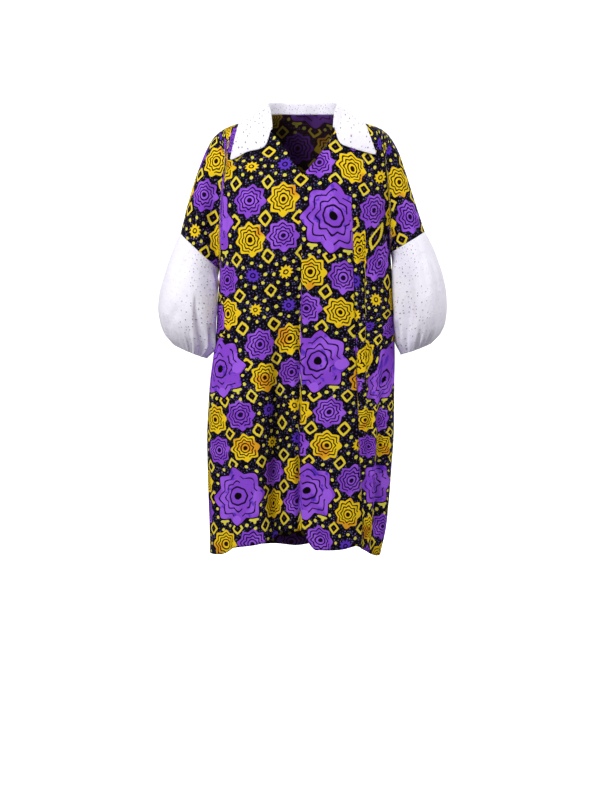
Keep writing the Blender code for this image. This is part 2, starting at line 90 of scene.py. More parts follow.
def smoothTable(rows, column, at):
    ordered = sorted(rows)  # one column of a table against its first, without overshoot
    keys = np.array([row[0] for row in ordered], dtype=float)
    values = np.array([row[column] for row in ordered], dtype=float)
    steps = np.diff(keys)
    rises = np.diff(values) / steps
    slopes = np.zeros(len(keys))
    same = rises[:-1] * rises[1:] > 0
    slopes[1:-1][same] = 2 * rises[:-1][same] * rises[1:][same] / (rises[:-1] + rises[1:])[same]
    slopes[0] = rises[0]
    slopes[-1] = rises[-1]
    at = np.clip(np.asarray(at, dtype=float), keys[0], keys[-1])
    cell = np.clip(np.searchsorted(keys, at) - 1, 0, len(steps) - 1)
    step = steps[cell]
    share = (at - keys[cell]) / step
    rest = 1 - share
    return (
        (1 + 2 * share) * rest**2 * values[cell]
        + share * rest**2 * step * slopes[cell]
        + share**2 * (3 - 2 * share) * values[cell + 1]
        - share**2 * rest * step * slopes[cell + 1]
    )


def tableAt(rows, columns, at):
    return [smoothTable(rows, column, at) for column in columns]


def pathPoint(path, share):
    corners = np.array(path, dtype=float)
    lengths = np.concatenate([[0], np.cumsum(np.hypot(*np.diff(corners, axis=0).T))])
    rows = [(length, *corner) for length, corner in zip(lengths / lengths[-1], corners)]
    return tableAt(rows, (1, 2), share)


def unit(vectors):
    return vectors / np.maximum(np.linalg.norm(vectors, axis=-1, keepdims=True), 1e-9)


def smoothStep(value):
    value = np.clip(value, 0, 1)
    return value * value * (3 - 2 * value)


# Form of the worn dress, which the panels share
dressForm = {
    "halfColumns": 26, "neckColumn": 8, "slitColumn": 5, "upperRows": 11, "lowerRows": 14,
    "columnCrowding": 0.75, "ringPower": 2.4, "neckSwerve": 26.0, "neckBow": 3.1, "neckRowColumns": 4,
    "centreTurn": 0.55, "sideTurn": 0.37, "sideTurnFrom": 0.8, "neckRowPower": 1.2, "neckSpacing": 2.0,
    "neckEasing": 1.5,
    "underarmReach": 130.0, "armHalfDepth": 57.0, "armFade": 60.0, "neckHump": 40.0,
    "frontShoulderDrop": 260.0, "backShoulderDrop": 175.0, "blendPower": 5.0, "underarmBlend": 2.2,
    "seamGap": 0.08, "hemLevel": -1000.0, "foldFade": 30.0, "normalPasses": 14,
    "lineSteps": 33, "lineRunOn": 14, "shoulderReach": 230, "humpSides": (40, 0.73),
    "wrinklesAcross": (-230, 230), "wrinklesDown": (-1040, -60),
    # where the print follows the unfolded form, as the fold walls there turn right round
    "sidePrint": {"beyond": 140, "across": 30, "below": -330, "down": 60},
    "shoulderLine": {
        "left": [(-77, 0), (-112, -9), (-146, -19), (-177, -31), (-200, -47), (-218, -73),
                 (-231, -101), (-249, -150), (-267, -209), (-283, -273)],
        "right": [(80, 0), (112, -9), (146, -19), (180, -31), (201, -47), (223, -82),
                  (241, -132), (263, -200), (286, -269)],
    },
    "underarm": {"left": (-193, -357), "right": (207, -317)},
    "frontNeck": {
        "left": [(-77, 0), (-77, -14), (-76, -28), (-73, -42)],
        "right": [(80, 0), (80, -13), (79, -26), (76, -38)],
    },
    "slitEdge": {
        "left": [(-73, -42), (-56, -58), (-33, -93), (-14, -122), (1, -144)],
        "right": [(76, -38), (64, -63), (44, -91), (24, -118), (1, -144)],
    },
    "backNeck": {
        "left": [(-77, 0), (-66, 3), (-36, 5), (0, 5)],
        "right": [(80, 0), (68, 3), (36, 5), (0, 5)],
    },
    # height, left edge, right edge, centre fold, half depth in front and behind
    "bodySections": [
        (-1040, -217, 184, -4, 126, 114), (-1025, -218, 187, -4, 126, 114),
        (-960, -219, 200, -5, 125, 113), (-898, -221, 206, -5, 124, 112),
        (-815, -223, 212, -5, 122, 111), (-750, -224, 216, -5, 121, 110),
        (-690, -221, 217, -5, 120, 109), (-627, -217, 217, -5, 119, 107),
        (-573, -210, 218, -4, 118, 104), (-517, -202, 217, -4, 118, 101),
        (-430, -197, 213, -3, 119, 98), (-357, -193, 209, -2, 121, 97),
        (-317, -199, 207, -1, 121, 97), (-280, -203, 211, 0, 120, 97),
        (-200, -205, 213, 1, 118, 97), (0, -205, 213, 1, 114, 96), (60, -205, 213, 1, 114, 96),
    ],
}


def topEdge(columns, isFront):
    form = dressForm
    x = np.zeros(len(columns))
    z = np.zeros(len(columns))
    neck, slit = form["neckColumn"], form["slitColumn"]
    for i, column in enumerate(columns):
        side = "left" if column < 0 else "right"
        place = abs(column)
        if place >= neck:
            share = (place - neck) / (form["halfColumns"] - neck)
            x[i], z[i] = pathPoint(form["shoulderLine"][side], share)
        elif not isFront:
            x[i], z[i] = pathPoint(form["backNeck"][side], 1 - place / neck)
        elif place >= slit:
            share = ((neck - place) / (neck - slit)) ** form["neckSpacing"]
            x[i], z[i] = pathPoint(form["frontNeck"][side], share)
        else:
            x[i], z[i] = pathPoint(form["slitEdge"][side], 1 - place / slit)
    return x, z


def sectionX(columns, z):
    form = dressForm
    share = np.abs(columns) / form["halfColumns"]
    crowded = np.sin(np.pi / 2 * share) ** (2 / form["ringPower"])
    spread = form["columnCrowding"] * crowded + (1 - form["columnCrowding"]) * share
    left, right, centre = tableAt(form["bodySections"], (1, 2, 3), z)
    return centre + (np.where(columns < 0, left, right) - centre) * spread


def shoulderDistance(x, z, side):
    form = dressForm  # the shoulder line runs on straight past its end
    line = np.array(pathPoint(form["shoulderLine"][side], np.linspace(0, 1, form["lineSteps"])))
    lineX, lineZ = np.hstack([line, line[:, -1:] + form["lineRunOn"] * (line[:, -1:] - line[:, -2:-1])])
    nearest = np.full(np.shape(x), np.inf)
    for i in range(len(lineX) - 1):
        dx = lineX[i + 1] - lineX[i]
        dz = lineZ[i + 1] - lineZ[i]
        share = np.clip(((x - lineX[i]) * dx + (z - lineZ[i]) * dz) / (dx * dx + dz * dz), 0, 1)
        nearest = np.minimum(nearest, np.hypot(x - lineX[i] - share * dx, z - lineZ[i] - share * dz))
    return nearest


def shoulderHeight(x):
    form = dressForm
    hump = form["neckHump"]
    aside, share = form["humpSides"]
    rows = [corner for side in ("left", "right") for corner in form["shoulderLine"][side]
            if abs(corner[0]) < form["shoulderReach"]]
    return smoothTable(rows + [(0, hump), (-aside, share * hump), (aside, share * hump)], 1, x)


def bodySpan(z, isLeft):
    left, right, centre = tableAt(dressForm["bodySections"], (1, 2, 3), z)
    return centre, np.where(isLeft, centre - left, right - centre)


def bodyAcross(x, z):
    isLeft = x < smoothTable(dressForm["bodySections"], 3, z)
    centre, reach = bodySpan(z, isLeft)
    return np.clip((x - centre) / reach, -1, 1)


def bodyDepth(x, z, isFront):
    form = dressForm
    across = np.abs(bodyAcross(x, z))
    section = (1 - across ** form["ringPower"]) ** (1 / form["ringPower"])
    drop = form["frontShoulderDrop"] if isFront else form["backShoulderDrop"]
    below = np.clip((shoulderHeight(x) - z) / drop, 0, 1)
    middleDepth = smoothTable(form["bodySections"], 4 if isFront else 5, z)
    return middleDepth * section * np.sqrt(1 - (1 - below) ** 2)


def armTurn(x, z, side):
    radius = shoulderDistance(*dressForm["underarm"][side], side) / 2
    return radius, np.clip(shoulderDistance(x, z, side) / radius, 0, 2)


def halfDepth(x, z, isFront):
    form = dressForm
    body = bodyDepth(x, z, isFront)
    arm = np.zeros(np.shape(x))
    near = np.ones(np.shape(x))
    for side in ("left", "right"):
        cornerX, cornerZ = form["underarm"][side]
        _, inward = armTurn(x, z, side)
        reach = form["armHalfDepth"] * np.sqrt(np.clip(1 - (1 - inward) ** 2, 0, 1))
        aboveUnderarm = np.clip((z - cornerZ + form["armFade"]) / form["armFade"], 0, 1)
        arm = np.where(x < 0 if side == "left" else x >= 0, reach * aboveUnderarm, arm)
        away = np.hypot(x - cornerX, z - cornerZ)
        near = np.minimum(near, np.clip(away / form["underarmReach"], 0, 1))
    power = form["underarmBlend"] + (form["blendPower"] - form["underarmBlend"]) * near
    return (body**power + arm**power) ** (1 / power)


def foldDepth(x, z, folds):
    total = np.zeros(np.shape(x))
    for fold in folds:
        middle, depth, width = tableAt(fold, (1, 2, 3), z)
        if len(fold[0]) > 4:  # a fold that falls steeply on its left has another width on its right
            width = np.where(x < middle, width, smoothTable(fold, 4, z))
        total += depth * np.exp(-(((x - middle) / width) ** 2))
    return total


def knifeDepth(x, z, folds):
    total = np.zeros(np.shape(x))  # a pressed fold: the cloth on one side lies over the other side
    for path, upperSide, rise, riseFade, dip, dipFade in folds:
        edge, size = tableAt(path, (1, 2), z)
        away = (x - edge) * upperSide
        upper = -rise * np.exp(-np.maximum(away, 0) / riseFade)
        lower = dip * np.exp(np.minimum(away, 0) / dipFade)
        total += size * np.where(away >= 0, upper, lower)
    return total


def wrinkles(x, z, look):
    random = np.random.default_rng(look["seed"])  # small soft creases, mostly along the cloth's hang
    total = np.zeros(np.shape(x))
    for _ in range(look["count"]):
        atX = random.uniform(*dressForm["wrinklesAcross"])
        atZ = random.uniform(*dressForm["wrinklesDown"])
        tilt = random.normal(0, look["tilt"])
        width = random.uniform(*look["width"])
        length = random.uniform(*look["length"])
        depth = random.uniform(*look["depth"]) * random.choice([-1, 1])
        across = (x - atX) * math.cos(tilt) + (z - atZ) * math.sin(tilt)
        along = -(x - atX) * math.sin(tilt) + (z - atZ) * math.cos(tilt)
        total += depth * np.exp(-((across / width) ** 2) - (along / length) ** 2)
    return total


def gridNormals(points, isFront, passes):
    down = np.gradient(points, axis=0)
    across = np.gradient(points, axis=1)
    normals = unit(np.cross(down, across) if isFront else np.cross(across, down))
    for _ in range(passes):
        spread = np.pad(normals, ((1, 1), (1, 1), (0, 0)), mode="edge")
        around = spread[:-2, 1:-1] + spread[2:, 1:-1] + spread[1:-1, :-2] + spread[1:-1, 2:]
        normals = unit(normals * 2 + around)
    return normals


def panelPoints(look, isFront):
    form = dressForm
    half = form["halfColumns"]
    columns = np.linspace(-half, half, 2 * half * look["columnSteps"] + 1)
    topX, topZ = topEdge(columns, isFront)
    lowZ = np.interp(columns, [-half, half], [form["underarm"][side][1] for side in ("left", "right")])
    lowX = sectionX(columns, lowZ)
    hemZ = smoothTable(look["hem"], 1, sectionX(columns, np.full(len(columns), form["hemLevel"])))
    turnFrom = form["sideTurnFrom"]
    atSide = np.clip((np.abs(columns) / half - turnFrom) / (1 - turnFrom), 0, 1)
    turn = form["centreTurn"] + form["sideTurn"] * atSide**2
    atNeck = 1 - np.clip((np.abs(columns) - form["neckColumn"] + 1) / form["neckRowColumns"], 0, 1)
    fromNeck = (np.abs(columns) - form["neckColumn"] - 0.5) / form["neckRowColumns"]
    swerve = form["neckSwerve"] * np.exp(-(fromNeck**2))
    rowsX = []
    rowsZ = []
    for step in np.linspace(0, 1, look["upperRows"], endpoint=False):
        rounded = (1 - np.cos(np.pi * turn * step)) / (1 - np.cos(np.pi * turn))
        share = rounded + (step ** form["neckRowPower"] - rounded) * atNeck
        bow = form["neckBow"] * np.sqrt(share) * (1 - share) ** form["neckEasing"]
        rowsX.append(topX + (lowX - topX) * share + np.sign(columns) * swerve * bow)
        rowsZ.append(topZ + (lowZ - topZ) * share)
    for step in np.linspace(0, 1, look["lowerRows"] + 1):
        z = lowZ + (hemZ - lowZ) * step
        rowsZ.append(z)
        rowsX.append(sectionX(columns, z))
    x = np.array(rowsX)
    z = np.array(rowsZ)
    depth = halfDepth(x, z, isFront)
    shoulders = (half - form["neckColumn"]) * look["columnSteps"] + 1
    depth[0, :shoulders] = 0
    depth[0, -shoulders:] = 0
    depth[look["upperRows"]:, [0, -1]] = 0
    base = np.stack([x, look["facing"] * depth, z], axis=-1)
    fold = foldDepth(x, z, look["folds"]) + foldDepth(x, z, look["armCreases"])
    fold += foldDepth(x, z, look["softFolds"]) + wrinkles(x, z, look["wrinkles"])
    fold += knifeDepth(x, z, look["knifeFolds"])
    fold *= np.clip(depth / form["foldFade"], 0, 1)
    fold[:, [0, -1]] = 0
    points = base - gridNormals(base, isFront, form["normalPasses"]) * fold[..., None]
    side = form["sidePrint"]
    atSide = smoothStep((np.abs(x) - side["beyond"]) / side["across"])
    atSide = atSide * smoothStep((side["below"] - z) / side["down"])
    clothX = points[..., 0] + (x - points[..., 0]) * atSide
    return points + np.array([0, look["facing"] * form["seamGap"] / 2, 0]), clothX


# How the print falls: the flat cloth coordinates of each point of a panel
printFall = {
    "step": 4.0, "level": -232.0, "heights": (64, -1077), "turns": 241, "shares": 121,
    # steepest walls that the print is measured over: across at the top and low down, and downwards
    "steepAcross": 2.4, "steeperBy": 60, "steeperBelow": -250, "steeperRun": 80, "steepDown": 2.0,
    "sagWidth": 310, "sagMost": 1.2,
    # the arm's own print: its stretch round the arm and how it gives way to the body's
    "armRound": 1.12, "lineStart": 4, "armBlend": (3, 44), "blendBelow": -95, "blendRun": 70,
    "underarmRun": 20,
}


def arcsAcross(isFront):
    fall = printFall
    turn = np.linspace(-1, 1, fall["turns"])
    z = np.arange(*fall["heights"], -fall["step"])
    atTurn, atZ = np.meshgrid(turn, z)
    centre, reach = bodySpan(atZ, atTurn < 0)
    x = centre + np.sin(np.pi / 2 * atTurn) * reach
    stepX = np.diff(x, axis=1)
    low = smoothStep((fall["steeperBelow"] - atZ[:, 1:]) / fall["steeperRun"])
    steepest = fall["steepAcross"] + fall["steeperBy"] * low
    stepY = np.minimum(np.abs(np.diff(bodyDepth(x, atZ, isFront), axis=1)), steepest * stepX)
    lengths = np.pad(np.cumsum(np.hypot(stepX, stepY), axis=1), ((0, 0), (1, 0)))
    return turn, z, lengths - lengths[:, len(turn) // 2][:, None]


def arcsDown(isFront):
    fall = printFall
    share = np.linspace(-1, 1, fall["shares"])
    z = np.arange(*fall["heights"], -fall["step"])
    atShare, atZ = np.meshgrid(share, z)
    centre, reach = bodySpan(atZ, atShare < 0)
    slope = np.gradient(bodyDepth(centre + atShare * reach, atZ, isFront), z, axis=0)
    slope = np.clip(slope, -fall["steepDown"], fall["steepDown"])
    lengths = -np.cumsum(np.sqrt(1 + slope**2), axis=0) * fall["step"]
    return share, z, lengths - lengths[int((z[0] - fall["level"]) / fall["step"])][None, :]


def sampleTable(x, z, tableX, tableZ, values):
    column = np.clip((x - tableX[0]) / (tableX[1] - tableX[0]), 0, len(tableX) - 1.001)
    row = np.clip((tableZ[0] - z) / printFall["step"], 0, len(tableZ) - 1.001)
    c, r = column.astype(int), row.astype(int)
    s, t = column - c, row - r
    top = values[r, c] * (1 - s) + values[r, c + 1] * s
    low = values[r + 1, c] * (1 - s) + values[r + 1, c + 1] * s
    return top * (1 - t) + low * t


def clothPlace(x, z, look, isFront):
    fall = printFall
    tables = arcsAcross(isFront)
    start = smoothTable(look["printStart"], 1, z)
    turn, startTurn = [np.arcsin(bodyAcross(at, z)) * 2 / np.pi for at in (x, start)]
    u = sampleTable(turn, z, *tables) - sampleTable(startTurn, z, *tables)
    for hidden in look["softHidden"]:
        at, amount, width = tableAt(hidden, (1, 2, 3), z)
        u += amount * (np.tanh((x - at) / width) - np.tanh((start - at) / width)) / 2
    # a knife fold hides a strip of the print: the faces past it take their print from further on
    faceX = (x[:-1, :-1] + x[1:, 1:]) / 2
    faceZ = (z[:-1, :-1] + z[1:, 1:]) / 2
    faceStart = smoothTable(look["printStart"], 1, faceZ)
    jump = np.zeros(faceX.shape)
    for hidden in look["knifeHidden"]:
        at, amount = tableAt(hidden, (1, 2), faceZ)
        jump += amount * ((faceX > at) * 1.0 - (faceStart > at))
    wide = np.pad(jump, ((0, 1), (0, 1)), mode="edge") + u
    leftSag, rightSag, leftLift = tableAt(look["printSag"], (1, 2, 3), z)
    sag = leftSag * np.clip(-wide / fall["sagWidth"], 0, fall["sagMost"])
    sagFrom, sagRun = tableAt(look["sagReach"], (1, 2), z)
    sag += rightSag * smoothStep((x - start - sagFrom) / sagRun)
    for hidden, rows in zip(look["knifeHidden"][1:], look["printSteps"]):
        sag += smoothTable(rows, 1, z) * (x > smoothTable(hidden, 1, z))
    sag -= leftLift * (x < smoothTable(look["knifeHidden"][0], 1, z))
    v = sampleTable(bodyAcross(x, z), z + sag, *arcsDown(isFront)) * look["lengthScale"]
    v += smoothTable(look["printDrop"], 1, z)
    for side, sign, crease in zip(("left", "right"), (-1, 1), look["armCreases"]):
        line = dressForm["shoulderLine"][side]
        startX, startZ = line[fall["lineStart"]]
        alongX, alongZ = line[-1][0] - startX, line[-1][1] - startZ
        length = math.hypot(alongX, alongZ)
        alongX, alongZ = alongX / length, alongZ / length
        radius, inward = armTurn(x, z, side)
        armU = look["armPrint"][side][0] - sign * radius * fall["armRound"] * np.arccos(1 - inward)
        armV = look["armPrint"][side][1] - ((x - startX) * alongX + (z - startZ) * alongZ)
        least, more = fall["armBlend"]
        spread = least + more * np.clip((z - fall["blendBelow"]) / fall["blendRun"], 0, 1)
        pastCrease = np.abs(x) - np.abs(smoothTable(crease, 1, z))
        weight = smoothStep((pastCrease + spread) / (2 * spread)) * (x * sign > 0)
        low = dressForm["underarm"][side][1] - fall["underarmRun"]
        weight *= np.clip((z - low) / fall["underarmRun"], 0, 1)
        u = u * (1 - weight) + armU * weight
        v = v * (1 - weight) + armV * weight
        jump *= 1 - weight[:-1, :-1]
    return u, v, jump


def clothMesh(name, points, uv, outside, inside, closed=False, flip=False, thickness=0.6, level=0):
    # a grid of points as a thin shell: its outside is the grid, and its wall lies behind it
    rows, columns = points.shape[:2]
    last = columns if closed else columns - 1
    row, column = np.meshgrid(np.arange(rows - 1), np.arange(last), indexing="ij")
    right = (column + 1) % columns
    quads = np.stack([row * columns + column, (row + 1) * columns + column,
                      (row + 1) * columns + right, row * columns + right], axis=-1).reshape(-1, 4)
    # the print's place is kept per corner, so that a tube's seam doesn't smear it
    u, v = [np.stack([flat[:-1, :last], flat[1:, :last], flat[1:, 1:last + 1], flat[:-1, 1:last + 1]],
                     axis=-1) for flat in uv[:2]]
    if len(uv) == 3:
        u = u + uv[2][..., None]
    corners = np.stack([u, v], axis=-1).reshape(-1, 4, 2)
    if flip:
        quads = quads[:, ::-1]
        corners = corners[:, ::-1]
    mesh = bpy.data.meshes.new(name)
    mesh.vertices.add(rows * columns)
    mesh.vertices.foreach_set("co", (points * millimetre).astype(np.float32).ravel())
    mesh.loops.add(quads.size)
    mesh.loops.foreach_set("vertex_index", quads.astype(np.int32).ravel())
    mesh.polygons.add(len(quads))
    mesh.polygons.foreach_set("loop_start", np.arange(0, quads.size, 4, dtype=np.int32))
    mesh.polygons.foreach_set("use_smooth", np.ones(len(quads), dtype=bool))
    mesh.uv_layers.new(name="cloth")
    mesh.uv_layers["cloth"].data.foreach_set("uv", (corners * millimetre).astype(np.float32).ravel())
    mesh.update()
    mesh.validate()
    piece = addObject(name, mesh)
    mesh.materials.append(outside)
    mesh.materials.append(inside)
    wall = piece.modifiers.new("wall", "SOLIDIFY")
    wall.thickness = thickness * millimetre
    wall.offset = -1
    wall.material_offset = 1
    wall.use_even_offset = False
    if level:
        smooth = piece.modifiers.new("smooth", "SUBSURF")
        smooth.levels = smooth.render_levels = level
    return piece


def surfaceNormals(points, closed=False):
    down = np.gradient(points, axis=0)
    across = np.gradient(points, axis=1)
    if closed:
        across = np.roll(points, -1, axis=1) - np.roll(points, 1, axis=1)
    return unit(np.cross(down, across))


def lengthsAlong(grid):
    steps = np.linalg.norm(np.diff(grid, axis=0), axis=-1)
    return np.concatenate([0 * steps[:1], np.cumsum(steps, axis=0)])


def valuesAt(values, lengths, where):
    return np.stack([np.interp(where, lengths, values[:, i]) for i in range(3)], axis=-1)


def rowInside(points, distance, fromTop=False):
    grid = points if fromTop else points[::-1]  # the line on a cloth grid that runs beside its edge
    lengths = lengthsAlong(grid)
    line = [valuesAt(grid[:, i], lengths[:, i], distance) for i in range(points.shape[1])]
    return np.array(line)


def dress(piece, node):
    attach(piece, "root")
    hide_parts(node)
    return piece


# Sewing: short flat stitches that lie on the cloth in rows
stitchLook = {"length": 2.6, "gap": 1.4, "halfWidth": 0.32, "lift": 0.28, "sunk": 0.12}


def sewOn(name, rows, thread, node):
    look = stitchLook
    corners = []
    faces = []
    for line, normals in rows:
        lengths = lengthsAlong(line)
        starts = np.arange(look["gap"], lengths[-1] - look["length"], look["length"] + look["gap"])
        begin, end = valuesAt(line, lengths, starts), valuesAt(line, lengths, starts + look["length"])
        up = unit(valuesAt(normals, lengths, starts))
        side = unit(np.cross(up, end - begin)) * look["halfWidth"]
        top = (begin + end) / 2 + up * look["lift"]
        low = up * look["sunk"]
        for a, b, w, t, l in zip(begin, end, side, top, low):
            first = len(corners)
            corners += [a - l, (a + b) / 2 - w - l, b - l, (a + b) / 2 + w - l, t]
            faces += [(first + i, first + (i + 1) % 4, first + 4) for i in range(4)]
            faces.append((first + 3, first + 2, first + 1, first))
    mesh = bpy.data.meshes.new(name)
    mesh.from_pydata((np.array(corners) * millimetre).tolist(), [], faces)
    mesh.materials.append(thread)
    return dress(addObject(name, mesh), node)


# Wax-printed cotton, plain-woven. It gives the eye saturated purple and yellow on a near-black
# ground, uneven like hand-drawn work, with next to no shine; its wrong side is duller and darkened
# further as painted shade for the inside of the dress. Sizes are millimetres on the flat cloth; a
# rosette's pair is its reach at the tips and between them.
printChart = {
    "cell": (77.5, 82.5), "warp": 5.0, "warpSize": 60.0, "turn": 0.12,
    "blotchSize": 26, "broadSize": 55,
    "speckleStep": 6.4, "speckleLoose": 0.85, "speckleSize": (0.20, 0.14), "speckleEdge": (0.5, 1.35),
    "speckleStrength": (0.7, 0.3), "blueFrom": 0.7,
    # dye: where each shade starts and is full in its noise, and how strong it is then
    "bluish": (0.56, 0.70, 0.0, 0.8), "lighter": (0.42, 0.66, 0.0, 1.0),
    "amber": (0.54, 0.70, 0.0, 0.9),
    "pointRounding": 0.028, "pointPeak": 1.167, "pointPower": 1.4,
    "big": (75.0, 59.0), "medium": (38.4, 30.4), "star": (16.6, 10.6), "halo": 1.055,
    "square": (16.2, 17.6), "squareRound": 1.14, "squareHole": 0.55, "squareDot": 1.9,
    "starDots": 8, "starDotRing": 29.0, "starDotSize": 4.1,
    # dark lines: share of the outline and half width; rings: radius and half width, heart's radius
    "mediumLines": ((0.785, 0.047), (0.55, 0.049)), "mediumRing": (11.6, 1.6), "mediumHeart": 5.8,
    "bigLines": ((0.79, 0.026), (0.54, 0.028)), "bigRing": (23.0, 2.2), "bigHeart": 9.6,
    "lineBreaks": 0.40,
    "eightSided": (-0.07, 1.04),  # how much the big ring draws in at its corners
    "starRing": (4.8, 1.6),
    # plain buds on some points: place and radius
    "mediumBuds": (((30, -1, 0), 8.0), ((0, -30.5, 0), 7.5)),
    "bigBuds": (((53, -3, 0), 15.0), ((-4, -62, 0), 13.0)), "budEdge": 0.85,
    # dots between the points of the big rosette: place and radius
    "bigDots": (((58, 60, 0), 4.2), ((64, 37, 0), 4.2), ((63, -27, 0), 4.2), ((62, -51, 0), 4.4),
                ((36, 73, 0), 4.4), ((25, -75, 0), 4.4), ((46, -85, 0), 4.2)),
    # short bars with a foot under its two lower points: place, half width and half height
    "bars": (((42, -62, 0), 12.5, 4.4), ((43, -66, 0), 3.8, 7.0)),
    # how much the wrong side's dark colour covers its print: duller cloth plus painted shade for the
    # dress's inside
    "weave": 1.5, "weaveHeight": 0.22, "wrongSideShadeCover": 0.78,
    "shader": {"Roughness": 0.72, "Specular IOR Level": 0.03},
    "ink": {
        "ground": "#0B0509", "speckle": "#4A3C74", "speckleLight": "#8274AE", "speckleBlue": "#33485E",
        "purple": "#8546C8", "purpleLight": "#9B5BDE", "purpleDeep": "#4724B4", "starPurple": "#5A34B8",
        "yellow": "#EAC61E", "orange": "#DC9420", "paleYellow": "#D8CE4C", "purpleLine": "#1C0830",
        # the last colour, for the wrong side, is darkened as painted shade for the inside of the dress
        "yellowLine": "#2A1206", "ringMiddle": "#14060A", "ringDot": "#4A4266", "wrongSide": "#24151A",
    },
}


def layered(add, under, *layers):
    for over, mask in layers:  # each colour covers those before it where its mask is on
        under = add("Mix", "RGBA", {0: mask, 6: under, 7: over}, 2)
    return under


def joined(add, operation, values):
    total = values[0]
    for value in values[1:]:
        total = add("Math", operation, [total, value])
    return total


def clothFlat(add):
    return add("VectorMath", "SCALE", {0: add("UVMap", "cloth"), 3: 1 / millimetre})


def localPoint(add, vector):
    x, y, _ = add("SeparateXYZ", None, [vector], None)
    return {"x": x, "y": y, "r": add("VectorMath", "LENGTH", [vector], 1)}


def rosette(add, local, tip, notch, points, turned):
    angle = add("Math", "ARCTAN2", [local["y"], local["x"]])
    turns = add("Math", "MULTIPLY_ADD", [angle, points / (2 * math.pi), turned])
    wave = add("Math", "PINGPONG", [turns, 0.5])
    fromTip = add("Math", "MULTIPLY_ADD", [wave, -2.0, 1.0])
    # points with straight sides and slightly rounded ends, as two squares laid crosswise have
    squared = add("Math", "MULTIPLY_ADD", [fromTip, fromTip, printChart["pointRounding"]])
    rounded = add("Math", "SQRT", [squared])
    peak = add("Math", "SUBTRACT", [printChart["pointPeak"], rounded])
    pointed = add("Math", "POWER", [peak, printChart["pointPower"]])
    outline = add("Math", "MULTIPLY_ADD", [pointed, tip - notch, notch])
    return add("Math", "DIVIDE", [local["r"], outline]), peak


